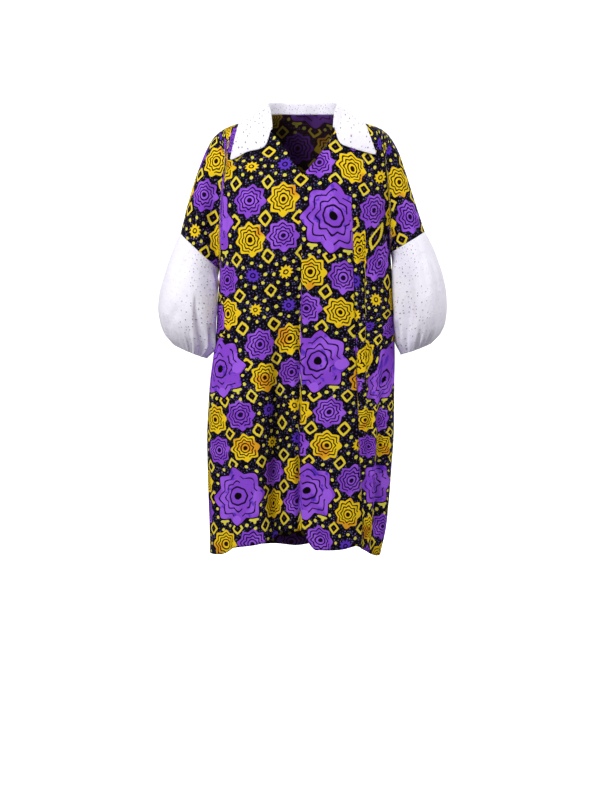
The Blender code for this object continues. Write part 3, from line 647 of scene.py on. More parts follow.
def printedCotton(name, wrongSide=False):
    chart = printChart
    ink = {key: linear(value) for key, value in chart["ink"].items()}
    material, tree, shader = newMaterial(name, chart["shader"])
    add = partial(addNode, tree)

    def reaches(origin, spots):
        return [(add("VectorMath", "DISTANCE", [origin, spot], 1), size) for spot, size in chart[spots]]

    flat = clothFlat(add)
    drawn = add("TexNoise", "2D", {"Vector": flat, "Scale": 1 / chart["warpSize"], "Detail": 2.0}, 1)
    drift = add("VectorMath", "SUBTRACT", [drawn, (0.5, 0.5, 0.5)])
    point = add("VectorMath", "MULTIPLY_ADD", [drift, (2 * chart["warp"], 2 * chart["warp"], 0), flat])
    blotch = add("TexNoise", "2D", {"Vector": flat, "Scale": 1 / chart["blotchSize"], "Detail": 3.0,
                                    "Roughness": 0.6})
    broad = add("TexNoise", "2D", {"Vector": flat, "Scale": 1 / chart["broadSize"], "Detail": 1.0})

    # which cell of the four by four repeat, and the place inside it
    cellX, cellY = chart["cell"]
    share = add("VectorMath", "DIVIDE", [point, (cellX, cellY, 1)])
    index = add("VectorMath", "FLOOR", [share])
    inCell = add("VectorMath", "FRACTION", [share])
    centred = add("VectorMath", "SUBTRACT", [inCell, (0.5, 0.5, 0)])
    local = add("VectorMath", "MULTIPLY", [centred, (cellX, cellY, 0)])
    chance = add("TexWhiteNoise", "2D", {"Vector": index})
    twist = add("Math", "MULTIPLY_ADD", [chance, 2 * chart["turn"], -chart["turn"]])
    turned = add("VectorRotate", "Z_AXIS", {"Vector": local, "Angle": twist})
    here = localPoint(add, turned)
    column, row, _ = add("SeparateXYZ", None, [index], None)
    steps = [add("Math", "FLOORED_MODULO", [axis, 4.0]) for axis in (column, row)]
    # steps 1 and 2 of the four
    outerColumn, outerRow = [add("Math", "COMPARE", [step, 1.5, 0.7]) for step in steps]
    both = add("Math", "ADD", [column, row])
    parity = add("Math", "FLOORED_MODULO", [both, 2.0])
    bigColumn = add("Math", "SUBTRACT", [1.0, outerColumn])
    below = add("Math", "MULTIPLY", [bigColumn, outerRow])
    signed = add("Math", "SUBTRACT", [parity, below])
    isPurple = add("Math", "ABSOLUTE", [signed])
    isStar = add("Math", "MULTIPLY", [outerColumn, outerRow])
    cellSum = add("Math", "ADD", [outerColumn, outerRow])
    isMedium = add("Math", "COMPARE", [cellSum, 1.0, 0.1])

    # near-black ground with dull speckles
    specks = add("TexVoronoi", "2D", {"Vector": flat, "Scale": 1 / chart["speckleStep"],
                                      "Randomness": chart["speckleLoose"]}, None)
    light, tint, size = add("SeparateColor", None, [specks["Color"]], None)
    isBlue = add("Math", "GREATER_THAN", [tint, chart["blueFrom"]])
    speckle = layered(add, ink["speckle"], (ink["speckleLight"], light), (ink["speckleBlue"], isBlue))
    speckSize = add("Math", "MULTIPLY_ADD", [size, *chart["speckleSize"]])
    speckHeart, speckRim = [add("Math", "MULTIPLY", [speckSize, edge]) for edge in chart["speckleEdge"]]
    strength = add("Math", "MULTIPLY_ADD", [light, *chart["speckleStrength"]])
    isSpeck = add("MapRange", "SMOOTHSTEP", [specks["Distance"], speckHeart, speckRim, strength, 0.0])
    colour = layered(add, ink["ground"], (speckle, isSpeck))

    # yellow dots round the stars
    count, ring = chart["starDots"], chart["starDotRing"]
    starAngle = add("Math", "ARCTAN2", [here["y"], here["x"]])
    starTurns = add("Math", "MULTIPLY_ADD", [starAngle, count / (2 * math.pi), 0.5])
    starFold = add("Math", "FRACT", [starTurns])
    apart = 2 * math.pi / count * ring
    around = add("Math", "MULTIPLY_ADD", [starFold, apart, -apart / 2])
    outward = add("Math", "SUBTRACT", [here["r"], ring])
    dotReach = add("VectorMath", "LENGTH", [add("CombineXYZ", None, [around, outward])], 1)
    isDot = add("Math", "LESS_THAN", [dotReach, chart["starDotSize"]])
    colour = layered(add, colour, (ink["paleYellow"], joined(add, "MULTIPLY", [isDot, isStar])))

    # squares stood on their corners, at the corners of the cells
    halfCell = (cellX / 2, cellY / 2, 1)
    corner = add("VectorMath", "WRAP", [point, halfCell, tuple(-side for side in halfCell)])
    cornerReach = add("VectorMath", "LENGTH", [corner], 1)
    squareX, squareY = chart["square"]
    scaled = add("VectorMath", "MULTIPLY", [corner, (1 / squareX, 1 / squareY, 0)])
    scaled = add("VectorMath", "ABSOLUTE", [scaled])
    cornerX, cornerY, _ = add("SeparateXYZ", None, [scaled], None)
    powers = [add("Math", "POWER", [side, chart["squareRound"]]) for side in (cornerX, cornerY)]
    ringReach = add("Math", "ADD", powers)
    inRing = add("Math", "LESS_THAN", [ringReach, 1.0])
    inHole = add("Math", "LESS_THAN", [ringReach, chart["squareHole"]])
    inDot = add("Math", "LESS_THAN", [cornerReach, chart["squareDot"]])
    ringYellow = layered(add, ink["paleYellow"], (ink["yellow"], broad))
    colour = layered(add, colour, (ringYellow, inRing), (ink["ringMiddle"], inHole),
                     (ink["ringDot"], inDot))

    # purple and yellow cloth colours, with the uneven dye of a hand-made look
    dyes = (blotch, "bluish"), (broad, "lighter"), (broad, "amber")
    bluish, lighter, amber = [
        add("MapRange", "SMOOTHSTEP", [noise, *chart[shade]]) for noise, shade in dyes
    ]
    purple = layered(add, ink["purple"], (ink["purpleLight"], lighter))
    yellow = layered(add, ink["yellow"], (ink["orange"], amber))

    # middle-sized rosettes, eight pointed, with rippled dark lines; two buds cover the outer line
    shape, _ = rosette(add, here, *chart["medium"], 8, 0.5)
    fill = layered(add, yellow, (purple, isPurple))
    line = layered(add, ink["yellowLine"], (ink["purpleLine"], isPurple))
    buds = reaches(turned, "mediumBuds")
    clear = [add("Math", "GREATER_THAN", [reach, size]) for reach, size in buds]
    outer, inner = [add("Math", "COMPARE", [shape, *dark]) for dark in chart["mediumLines"]]
    ringLine = add("Math", "COMPARE", [here["r"], *chart["mediumRing"]])
    heart = add("Math", "LESS_THAN", [here["r"], chart["mediumHeart"]])
    outer = joined(add, "MULTIPLY", [outer, joined(add, "MULTIPLY", clear)])
    fill = layered(add, fill, *[(line, mask) for mask in (outer, inner, ringLine, heart)])
    inside = add("Math", "LESS_THAN", [shape, 1.0])
    colour = layered(add, colour, (fill, joined(add, "MULTIPLY", [inside, isMedium])))

    # small stars of ten points
    shape, _ = rosette(add, here, *chart["star"], 10, 0.0)
    ringLine = add("Math", "COMPARE", [here["r"], *chart["starRing"]])
    fill = layered(add, ink["yellow"], (ink["starPurple"], isPurple), (line, ringLine))
    inside = add("Math", "LESS_THAN", [shape, 1.0])
    colour = layered(add, colour, (fill, joined(add, "MULTIPLY", [inside, isStar])))

    # the big rosette over the corner of every fourth cell, with dots and bars round it
    period = (2 * cellX, 2 * cellY, 1)
    around = add("VectorMath", "WRAP", [point, period, tuple(-side for side in period)])
    middle = localPoint(add, around)
    mirrored = add("CombineXYZ", None, [add("Math", "ABSOLUTE", [middle["x"]]), middle["y"]])
    near = [add("Math", "LESS_THAN", [reach, size]) for reach, size in reaches(mirrored, "bigDots")]
    colour = layered(add, colour, (ink["paleYellow"], joined(add, "MAXIMUM", near)))
    for spot, width, height in chart["bars"]:
        bar = add("VectorMath", "SUBTRACT", [mirrored, spot])
        bar = add("VectorMath", "MULTIPLY", [bar, (1 / width, 1 / height, 0)])
        onBar = add("Math", "LESS_THAN", [add("VectorMath", "LENGTH", [bar], 1), 1.0])
        colour = layered(add, colour, (ink["paleYellow"], onBar))
    shape, peak = rosette(add, middle, *chart["big"], 8, 0.5)
    broken = add("Math", "GREATER_THAN", [broad, chart["lineBreaks"]])
    lines = [add("Math", "COMPARE", [shape, *dark]) for dark in chart["bigLines"]]
    lines = [joined(add, "MULTIPLY", [dark, broken]) for dark in lines]
    eightSided = add("Math", "MULTIPLY_ADD", [peak, *chart["eightSided"]])
    eightSided = add("Math", "MULTIPLY", [eightSided, middle["r"]])
    lines.append(add("Math", "COMPARE", [eightSided, *chart["bigRing"]]))
    heart = add("Math", "LESS_THAN", [middle["r"], chart["bigHeart"]])
    fill = layered(add, purple, (ink["purpleDeep"], bluish),
                   *[(ink["purpleLine"], dark) for dark in lines], (ink["ground"], heart))
    for reach, size in reaches(around, "bigBuds"):
        onBud = add("MapRange", "SMOOTHSTEP", [reach, size * chart["budEdge"], size, 1.0, 0.0])
        fill = layered(add, fill, (ink["purpleLight"], onBud))
    halo, inside = [add("Math", "LESS_THAN", [shape, reach]) for reach in (chart["halo"], 1.0)]
    colour = layered(add, colour, (ink["ground"], halo), (fill, inside))

    # the wrong side: duller cloth, darkened further as painted shade for the inside of the dress
    if wrongSide:
        colour = layered(add, colour, (ink["wrongSide"], chart["wrongSideShadeCover"]))
    tree.links.new(colour, shader.inputs["Base Color"])
    tree.links.new(clothBump(add, flat, chart["weave"], chart["weaveHeight"]), shader.inputs["Normal"])
    return material


# Plain weave with faint slubs. Real threads lie 0.3 mm apart, too fine for the render, so they are
# drawn about five times as far apart.
weaveLook = {
    "wavePeriod": 0.31,  # millimetres between the bands of a wave texture at scale 1
    "wobble": 1.2, "slubScale": 0.12, "slubs": 2.2, "rims": 4.0, "depth": 0.0006,
}


def clothBump(add, flat, step, strength, rim=None):
    look = weaveLook
    scale = 1 / step * look["wavePeriod"]
    wave = {"Vector": flat, "Scale": scale, "Distortion": look["wobble"], "Detail": 1.0}
    height = joined(add, "ADD", [add("TexWave", axis, wave, 1) for axis in ("X", "Y")])
    slub = add("TexNoise", "2D", {"Vector": flat, "Scale": look["slubScale"], "Detail": 4.0})
    height = add("Math", "MULTIPLY_ADD", [slub, look["slubs"], height])
    if rim is not None:
        height = add("Math", "MULTIPLY_ADD", [rim, look["rims"], height])
    return add("Bump", None, {"Strength": strength, "Distance": look["depth"], "Height": height})


# White eyelet cotton: bleached plain weave with small holes whose rims are sewn round. It gives the
# eye a matte white with a violet shade in its folds, slightly raised rims, and pinholes painted dark
# for the shade and dark cloth seen through them.
eyeletCloth = {
    # the holes are painted dark: the shade and dark cloth seen through them
    "base": "#F7F5FC", "shade": "#E9E5F1", "holeShade": "#353042", "holeStep": 10.5, "holeSize": 1.45,
    "holeEdge": (0.8, 1.2), "rimEdge": (1.1, 2.3),  # shares of the hole's size
    "leftOut": 0.45, "faintest": 0.3, "cloudScale": 0.02,
    "throughLight": (-0.15, 0.5), "throughShare": 0.14, "threadStep": 1.6, "threadHeight": 0.3,
    "shader": {"Roughness": 0.85, "Specular IOR Level": 0.2, "Sheen Weight": 0.1},
}


def eyeletCotton(name, roundWidth=None):
    look = eyeletCloth
    material, tree, shader = newMaterial(name, look["shader"])
    add = partial(addNode, tree)
    flat = clothFlat(add)
    step, size = look["holeStep"], look["holeSize"]
    holes = add("TexVoronoi", "2D", {"Vector": flat, "Scale": 1 / step, "Randomness": 1.0}, None)
    away = add("Math", "MULTIPLY", [holes["Distance"], step])
    # painted shade in the holes, at a random strength each, with some holes left out
    holeShade, rim = [
        add("MapRange", "SMOOTHSTEP", [away, size * heart, size * edge, 1.0, 0.0])
        for heart, edge in (look["holeEdge"], look["rimEdge"])
    ]
    kept, faint, _ = add("SeparateColor", None, [holes["Color"]], None)
    kept = add("Math", "GREATER_THAN", [kept, look["leftOut"]])
    dark = add("MapRange", None, [faint, 0.0, 1.0, look["faintest"], 1.0])
    holeShade = joined(add, "MULTIPLY", [holeShade, kept, dark])
    if roundWidth:
        # light comes through the outer half of a sleeve, so that its holes hardly show
        acrossFlat, _, _ = add("SeparateXYZ", None, [flat], None)
        turn = add("Math", "MULTIPLY", [acrossFlat, 2 * math.pi / roundWidth])
        outer = add("Math", "COSINE", [turn])
        shown = add("MapRange", "SMOOTHSTEP", [outer, *look["throughLight"], 1.0, look["throughShare"]])
        holeShade = joined(add, "MULTIPLY", [holeShade, shown])
    cloud = add("TexNoise", "2D", {"Vector": flat, "Scale": look["cloudScale"], "Detail": 2.0})
    base, shade, holeShadeColour = [linear(look[key]) for key in ("base", "shade", "holeShade")]
    # the white, its cloudy tint, then the painted shade of the holes
    colour = layered(add, base, (shade, cloud), (holeShadeColour, holeShade))
    tree.links.new(colour, shader.inputs["Base Color"])
    bump = clothBump(add, flat, look["threadStep"], look["threadHeight"], rim)
    tree.links.new(bump, shader.inputs["Normal"])
    return material


# Polyester sewing thread: smoother than the cloth, so that a stitch catches a little more light
threadLook = {
    "dark": "#1B1220", "white": "#E9E6F0", "shader": {"Roughness": 0.6, "Specular IOR Level": 0.3},
}


def sewingThread(name, colour):
    return newMaterial(name, {"Base Color": linear(threadLook[colour]), **threadLook["shader"]})[0]


sleeveRound = 480.0  # the flat width of a sleeve, round which its holes are laid out
printOutside = printedCotton("waxPrintedCotton")
# the wrong side, with painted shade, lines the inside wall and the hem turn-up
printInsideShaded = printedCotton("waxPrintedCottonWrongSideShaded", True)
eyelet = eyeletCotton("eyeletCotton")
sleeveEyelet = eyeletCotton("eyeletCottonRound", sleeveRound)
darkThread = sewingThread("darkPolyesterThread", "dark")
whiteThread = sewingThread("whitePolyesterThread", "white")
print("cloth materials made")

# Front panel
# folds: height, x, inward depth, half width, and the half width on the right where it differs
armCreases = [
    [(-340, -190, 0, 15), (-300, -190, 8, 15), (-245, -188, 16, 15), (-180, -184, 11, 16),
     (-110, -174, 0, 18)],
    [(-300, 205, 0, 15), (-270, 204, 8, 15), (-220, 203, 16, 15), (-160, 198, 10, 16),
     (-95, 190, 0, 18)],
]
shoulderCreases = [
    [(-60, 150, 0, 14), (-130, 168, 4, 12), (-230, 182, 4, 10), (-300, 186, 0, 10)],
    [(-70, -128, 0, 14), (-130, -150, 4, 12), (-230, -166, 4, 10), (-310, -172, 0, 10)],
]
wrinkleLook = {"count": 70, "tilt": 0.25, "width": (5, 12), "length": (30, 90), "depth": (0.3, 1.1)}
panelLook = {"columnSteps": 5, "upperRows": 60, "lowerRows": 88, "lengthScale": 1.015}
frontLook = {
    **panelLook, "facing": -1,
    "hem": [
        (-225, -1025), (-190, -1018), (-160, -1000), (-125, -992), (-89, -984), (-62, -972),
        (-45, -958), (4, -957), (14, -982), (33, -1000), (90, -999), (127, -994), (157, -1010),
        (190, -1031),
    ],
    "folds": [
        [(-290, -2, 0, 9), (-380, -4, 6, 10), (-620, -5, 10, 11), (-1000, -4, 14, 12)],
        [(-210, 112, 0, 12), (-300, 116, 7, 12), (-640, 127, 9, 13), (-830, 133, 11, 14),
         (-1000, 147, 14, 15)],
        [(-300, 145, 0, 10), (-420, 146, 6, 11), (-640, 149, 0, 12)],
        [(-480, -45, 0, 22), (-640, -47, 7, 22), (-757, -50, 9, 21), (-840, -60, 9, 22),
         (-1000, -46, 10, 22)],
        [(-560, 182, 0, 16), (-757, 184, 9, 17), (-850, 184, 10, 17), (-1000, 168, 8, 16)],
        [(-560, -175, 0, 22), (-760, -186, 8, 22), (-1000, -180, 10, 22)],
        [(-480, -115, 0, 34), (-800, -118, -8, 34), (-1000, -118, -12, 32)],
        [(-520, 62, 0, 30), (-800, 64, -8, 30), (-1000, 72, -11, 30)],
    ],
    "armCreases": armCreases,
    "softFolds": [
        [(-400, -50, 0, 13, 18), (-480, -53, 9, 15, 22), (-580, -57, 21, 18, 25),
         (-700, -60, 33, 19, 27), (-860, -66, 40, 20, 28), (-960, -60, 34, 19, 26),
         (-1040, -56, 24, 17, 22)],
        [(-480, -92, 0, 18), (-640, -98, -4, 18), (-900, -102, -5, 18), (-1040, -98, -4, 18)],
        [(-500, -22, 0, 12), (-700, -26, -3, 12), (-1040, -24, -4, 12)],
        [(-170, 132, 0, 8, 14), (-230, 134, 8, 9, 14), (-320, 138, 12, 9, 15), (-420, 143, 6, 9, 14),
         (-480, 146, 0, 9, 14)],
        [(-380, 168, 0, 8, 14), (-500, 166, 8, 9, 14), (-620, 162, 12, 10, 16), (-800, 157, 15, 11, 16),
         (-1000, 158, 8, 10, 16)],
        [(-560, 186, 0, 8), (-760, 189, 9, 8), (-900, 186, 12, 9), (-1000, 176, 8, 9)],
        [(-130, -205, 0, 20, 14), (-180, -208, 9, 22, 14), (-240, -211, 13, 22, 14),
         (-300, -213, 6, 20, 12), (-340, -213, 0, 18, 12)],
        [(-420, 178, 0, 8), (-600, 176, -3, 9), (-800, 170, -4, 9), (-960, 166, -3, 9)],
        [(-230, -150, 0, 9), (-330, -160, 4, 10), (-460, -172, 2, 10), (-560, -176, 0, 10)],
        *shoulderCreases,
    ],
    # knife folds: height, x and size down the edge; then the side that lies on top, how much it
    # rises and how far that reaches, how much the other side dips and how far that reaches
    "knifeFolds": [
        ([(-240, 0, 0), (-300, -2, 0.5), (-420, -3, 1), (-1040, -4, 1)], 1, 3.5, 26, 5.5, 14),
        ([(-215, 112, 0), (-300, 116, 0.7), (-640, 127, 1), (-830, 133, 1), (-1000, 147, 1)],
         -1, 2.5, 20, 4, 12),
        ([(-300, 145, 0), (-380, 145, 0.8), (-520, 146, 0.8), (-640, 149, 0)], -1, 2, 14, 3.5, 10),
        ([(-415, -181, 0), (-440, -180, 0.8), (-495, -179, 0.8), (-520, -178, 0)], 1, 2, 12, 3, 8),
    ],
    "wrinkles": {"seed": 11, **wrinkleLook},
    # print: x at which the repeat starts, for each height
    "printStart": [(0, 78), (-117, 76), (-232, 71), (-408, 52.6), (-569, 36), (-727, 19.4), (-874, 10),
                   (-1000, 3)],
    # cloth hidden in soft folds: height, x, hidden width, half width
    "softHidden": [
        [(-446, -50, 0, 24), (-520, -52, 10, 24), (-569, -55, 14, 24), (-640, -58, 22, 24),
         (-700, -62, 28, 24), (-774, -66, 34, 24), (-870, -70, 54, 24), (-1000, -62, 50, 24)],
        [(-760, 64, 0, 22), (-830, 66, 12, 22), (-900, 70, 18, 22), (-1000, 72, 20, 22)],
        [(-480, 186, 0, 10), (-569, 186, 40, 12), (-760, 181, 40, 10), (-1000, 168, 40, 10)],
        [(-250, 136, 0, 9), (-300, 138, 10, 9), (-370, 141, 10, 9), (-440, 144, 0, 9)],
    ],
    # cloth hidden in knife folds: height, x, hidden width
    "knifeHidden": [
        [(-240, 0, 0), (-298, -1, 10), (-357, -2, 21), (-446, -3, 38), (-520, -4, 46), (-569, -4, 54),
         (-700, -5, 79), (-740, -5, 88), (-870, -5, 96), (-1000, -4, 104)],
        [(-130, 110, 0), (-215, 112, 16), (-300, 116, 42), (-364, 117, 50), (-446, 120, 42),
         (-500, 122, 50), (-569, 124, 76), (-640, 127, 125), (-700, 129, 145), (-780, 132, 117),
         (-870, 137, 90), (-1000, 147, 67)],
        [(-300, 145, 0), (-420, 146, 20), (-520, 147, 30), (-600, 148, 10), (-640, 149, 0),
         (-1000, 160, 0)],
        [(-415, -180, 0), (-440, -180, 30), (-500, -179, 30), (-520, -178, 0)],
    ],
    # for each height, how much lower the print hangs at the left edge and on the right side, and how
    # much higher left of the centre fold
    "printSag": [(-60, 40, 34, 0), (-100, 29, 34, 0), (-140, 14, 35, 0), (-190, 14, 32, 0),
                 (-232, 20, 34, 0), (-275, 27, 30, 2), (-323, 36, 27, 5), (-370, 41, 25, 8),
                 (-428, 46, 25, 14), (-480, 50, 22, 20), (-569, 60, 16, 28), (-640, 56, 10, 32),
                 (-700, 56, 6, 34), (-760, 53, 7, 34), (-840, 50, 16, 32), (-900, 48, 21, 30),
                 (-1000, 46, 20, 28)],
    # where that starts on the right side, past the print's start, and how wide it runs
    "sagReach": [(-200, -20, 130), (-250, -40, 150), (-340, -85, 170), (-700, -85, 170),
                 (-770, -60, 150), (-840, 5, 105)],
    # how much lower it hangs past each knife fold
    "printSteps": [
        [(-250, 0), (-275, 6), (-300, 14), (-340, 10), (-450, 3), (-500, 5), (-548, 14), (-600, 30),
         (-640, 30), (-700, 22), (-768, 5), (-832, -20), (-893, -36), (-1000, -38)],
        [(-250, 0), (-300, 20), (-340, 33), (-428, 46), (-480, 30), (-548, 8), (-600, 14), (-640, 8),
         (-700, 0)],
    ],
    "printDrop": [(-569, 0), (-727, -5), (-874, -22), (-1000, -34)],
    "printShift": 0,  # how far up the whole print is moved
    "armPrint": {"left": (-498, 99), "right": (250, 152)},  # where the print starts on each arm
}
hemLook = {
    "turnUp": 22.0, "edge": 0.6, "wall": 0.9, "thickness": 0.5, "rows": 6,
    "stitchesUp": 18.0, "slitStitches": 6.0, "slitRow": 3,  # the row whose normals the slit takes
}


def hangPanel(node, look):
    isFront = look["facing"] < 0
    points, clothX = panelPoints(look, isFront)
    u, v, jump = clothPlace(clothX, points[..., 2], look, isFront)
    u, v, jump = -look["facing"] * u, v + look["printShift"], -look["facing"] * jump
    panel = clothMesh(node + "Panel", points, (u, v, jump), printOutside, printInsideShaded, flip=not isFront)
    normals = surfaceNormals(points)
    normals *= np.sign(look["facing"] * normals[..., 1:2] + 1e-6)
    # the turned-up edge, inside the hem
    heights = np.linspace(hemLook["edge"], hemLook["turnUp"], hemLook["rows"])[::-1]
    band = np.array([rowInside(points, height) for height in heights])
    band = band - unit(rowInside(normals, 0.0)) * hemLook["wall"]
    bandUv = np.tile(u[-1], (len(heights), 1)), np.tile(v[-1], (len(heights), 1)) - heights[:, None]
    turnUp = clothMesh(node + "HemTurnUp", band, bandUv, printInsideShaded, printInsideShaded,
                       thickness=hemLook["thickness"])
    dress(turnUp, node)
    rows = [(rowInside(points, hemLook["stitchesUp"]), rowInside(normals, 0.0))]
    if isFront:
        half, reach = (dressForm[name] * look["columnSteps"] for name in ("halfColumns", "slitColumn"))
        slit = slice(half - reach, half + reach + 1)
        beside = rowInside(points[:, slit], hemLook["slitStitches"], True)
        rows.append((beside, normals[hemLook["slitRow"], slit]))
    stitches = sewOn(node + "Stitches", rows, darkThread, node)
    dress(panel, node)
    print(node, "panel hung:", len(panel.data.polygons), "faces")
    return points


frontPoints = hangPanel("front", frontLook)

# Back panel
creaseShare = 0.7  # of the front's depth, as the arms hang a little forward
backLook = {
    **panelLook, "facing": 1,
    "hem": [(-225, -1025), (-120, -1020), (-30, -1027), (60, -1021), (190, -1031)],
    "folds": [
        [(-120, -74, 0, 18), (-340, -80, 6, 20), (-760, -92, 11, 22), (-1030, -104, 15, 24)],
        [(-120, 70, 0, 18), (-360, 78, 5, 20), (-760, 84, 12, 22), (-1030, 96, 15, 24)],
        [(-260, -8, 0, 22), (-640, -6, 7, 22), (-1030, -10, 12, 24)],
        [(-420, -160, 0, 20), (-800, -166, 9, 20), (-1030, -164, 11, 20)],
        [(-440, 158, 0, 20), (-780, 162, 8, 20), (-1030, 152, 11, 18)],
        [(-380, -48, 0, 26), (-900, -50, -8, 26), (-1030, -54, -10, 26)],
        [(-380, 40, 0, 26), (-900, 42, -8, 26), (-1030, 46, -10, 26)],
    ],
    "armCreases": [[(z, x, creaseShare * depth, width) for z, x, depth, width in crease]
                   for crease in armCreases],
    "softFolds": [
        [(-100, -30, 0, 10), (-240, -34, 3, 10), (-420, -40, 4, 11), (-640, -44, 0, 12)],
        [(-90, 24, 0, 12), (-260, 30, 3, 12), (-480, 28, 3, 12), (-720, 26, 0, 12)],
        *shoulderCreases[::-1],
        [(-560, 118, 0, 10), (-800, 122, 4, 10), (-1000, 124, 5, 10)],
        [(-600, -128, 0, 10), (-820, -130, 4, 10), (-1000, -132, 4, 10)],
    ],
    "knifeFolds": [
        ([(-330, -82, 0), (-420, -84, 0.7), (-760, -92, 1), (-1030, -104, 1)], -1, 2.5, 20, 4, 12),
        ([(-360, 78, 0), (-460, 80, 0.7), (-760, 84, 1), (-1030, 96, 1)], 1, 2.5, 20, 4, 12),
    ],
    "wrinkles": {"seed": 23, **wrinkleLook},
    "printStart": [(0, 30), (-232, 30), (-569, 22), (-1000, 14)],
    "softHidden": [],
    "knifeHidden": [
        [(-330, -82, 0), (-480, -85, 18), (-760, -92, 34), (-1000, -103, 44)],
        [(-360, 78, 0), (-500, 80, 18), (-760, 84, 34), (-1000, 95, 44)],
    ],
    "printSag": [(-100, 4, 6, 0), (-500, 10, 12, 0), (-900, 14, 10, 0)],
    "sagReach": [(-200, -10, 120), (-840, -10, 120)],
    "printSteps": [],
    "printDrop": [(-569, 0), (-1000, -10)],
    "printShift": 41,
    "armPrint": {"left": (-300, 118), "right": (262, 96)},
}
backPoints = hangPanel("back", backLook)

# Balloon sleeves, gathered at the hem
sleeveLook = {
    "sides": 360, "rings": 110, "armholeGap": 0.45, "thickness": 0.5,
    # waves round, turn, height; the right sleeve's broad folds are turned on by rightTurn
    "broadFolds": [(3, 0.6, 1.4), (5, 2.1, 1.0)], "rightTurn": 1.7,
    "gathers": [(13, 0.0, 1.0), (23, 1.3, 1.0), (37, 0.7, 0.9), (47, 2.4, 0.7)],
    # shares of the length at which each starts, and over which it grows or fades
    "broadRun": 0.3, "broadFade": (0.55, 0.45, 0.75), "tightRun": (0.5, 0.45),
    "gatherRun": (0.35, 0.008, 0.35), "leastDepth": 60,
    # folds: share of the length, place round in degrees (0 outside, 90 in front), depth and the
    # half width in degrees on the outer and on the inner side
    "leftFolds": [
        [(0.34, 106, 0, 4, 9), (0.50, 111, 7, 4, 11), (0.72, 117, 13, 4, 12), (0.90, 122, 10, 4, 9),
         (1.00, 124, 4, 4, 7)],
        [(0.62, 138, 0, 5, 8), (0.78, 141, 9, 5, 8), (0.95, 140, 7, 5, 8), (1.00, 140, 4, 5, 7)],
        [(0.02, 146, 0, 7, 9), (0.12, 149, 10, 7, 9), (0.26, 156, 6, 7, 9), (0.42, 162, 0, 7, 9)],
        [(0.02, 74, 0, 9, 11), (0.18, 70, 3, 9, 11), (0.36, 62, 2, 10, 12), (0.60, 55, 0, 10, 12)],
        [(0.50, 84, 0, 9, 9), (0.68, 68, 2.5, 9, 9), (0.80, 52, 2, 9, 9), (0.94, 44, 0, 9, 9)],
        [(0.84, 92, 0, 4, 4), (0.93, 94, 3, 4, 4), (1.00, 96, 2.5, 4, 4)],
    ],
    "rightFolds": [
        [(0.02, 76, 0, 7, 9), (0.16, 74, 4, 6, 9), (0.34, 78, 3, 6, 9), (0.50, 82, 0, 7, 9)],
        [(0.02, 50, 0, 9, 9), (0.25, 50, 2.5, 9, 9), (0.60, 52, 3, 9, 9), (0.85, 54, 0, 9, 9)],
        [(0.14, 112, 0, 10, 10), (0.34, 116, 7, 10, 11), (0.60, 121, 14, 11, 12), (0.82, 128, 12, 9, 9),
         (1.00, 130, 5, 7, 7)],
        [(0.62, 146, 0, 6, 8), (0.80, 148, 11, 6, 8), (1.00, 148, 7, 6, 8)],
        [(0.02, 156, 0, 9, 9), (0.12, 158, 5, 9, 9), (0.35, 162, 5, 9, 9), (0.60, 164, 0, 9, 9)],
        [(0.78, 96, 0, 4, 5), (0.90, 94, 4, 4, 5), (1.00, 92, 3, 4, 5)],
        [(0.82, 72, 0, 4, 4), (0.92, 71, 3, 4, 4), (1.00, 70, 3, 4, 4)],
    ],
    "backFolds": [
        [(0.15, 242, 0, 9, 9), (0.50, 239, 6, 10, 9), (0.80, 236, 11, 9, 5), (1.00, 235, 4, 8, 5)],
        [(0.30, 290, 0, 9, 9), (0.60, 293, 4, 9, 9), (1.00, 295, 2, 8, 8)],
        [(0.60, 264, 0, 6, 6), (0.80, 264, 4, 6, 6), (1.00, 263, 3, 6, 6)],
        [(0.60, 214, 0, 7, 7), (0.82, 215, 7, 7, 6), (1.00, 215, 5, 7, 6)],
    ],
    # the inner side swells towards the body: degrees round, spread and share, in front and behind
    "swell": 15.0, "swellRun": 0.15, "swellEnd": 1.02, "swellAt": [(150, 22, 1), (212, 20, 0.6)],
    "lengthScale": 1.12,
    # sewing: distance up from the hem, and the ring whose normals it takes
    "stitchRows": [(3.0, -1), (13.0, -5)],
    # share of the length, outer x and z, inner x and z, half depth
    "left": [
        (0.00, -283, -273, -193, -357, 57), (0.10, -297, -303, -199, -384, 66),
        (0.25, -311, -340, -202, -415, 75), (0.40, -323, -378, -203, -445, 81),
        (0.55, -333, -415, -206, -474, 83), (0.68, -336, -448, -207, -500, 81),
        (0.80, -331, -480, -208, -523, 74), (0.90, -320, -508, -210, -543, 61),
        (1.00, -301, -532, -223, -565, 41),
    ],
    "right": [
        (0.00, 286, -269, 207, -317, 57), (0.10, 303, -299, 214, -352, 66),
        (0.25, 319, -337, 217, -395, 75), (0.40, 331, -374, 219, -430, 81),
        (0.55, 338, -410, 221, -462, 83), (0.68, 340, -444, 222, -488, 81),
        (0.80, 336, -478, 224, -510, 74), (0.90, 324, -506, 227, -532, 61),
        (1.00, 303, -529, 232, -556, 38),
    ],
}


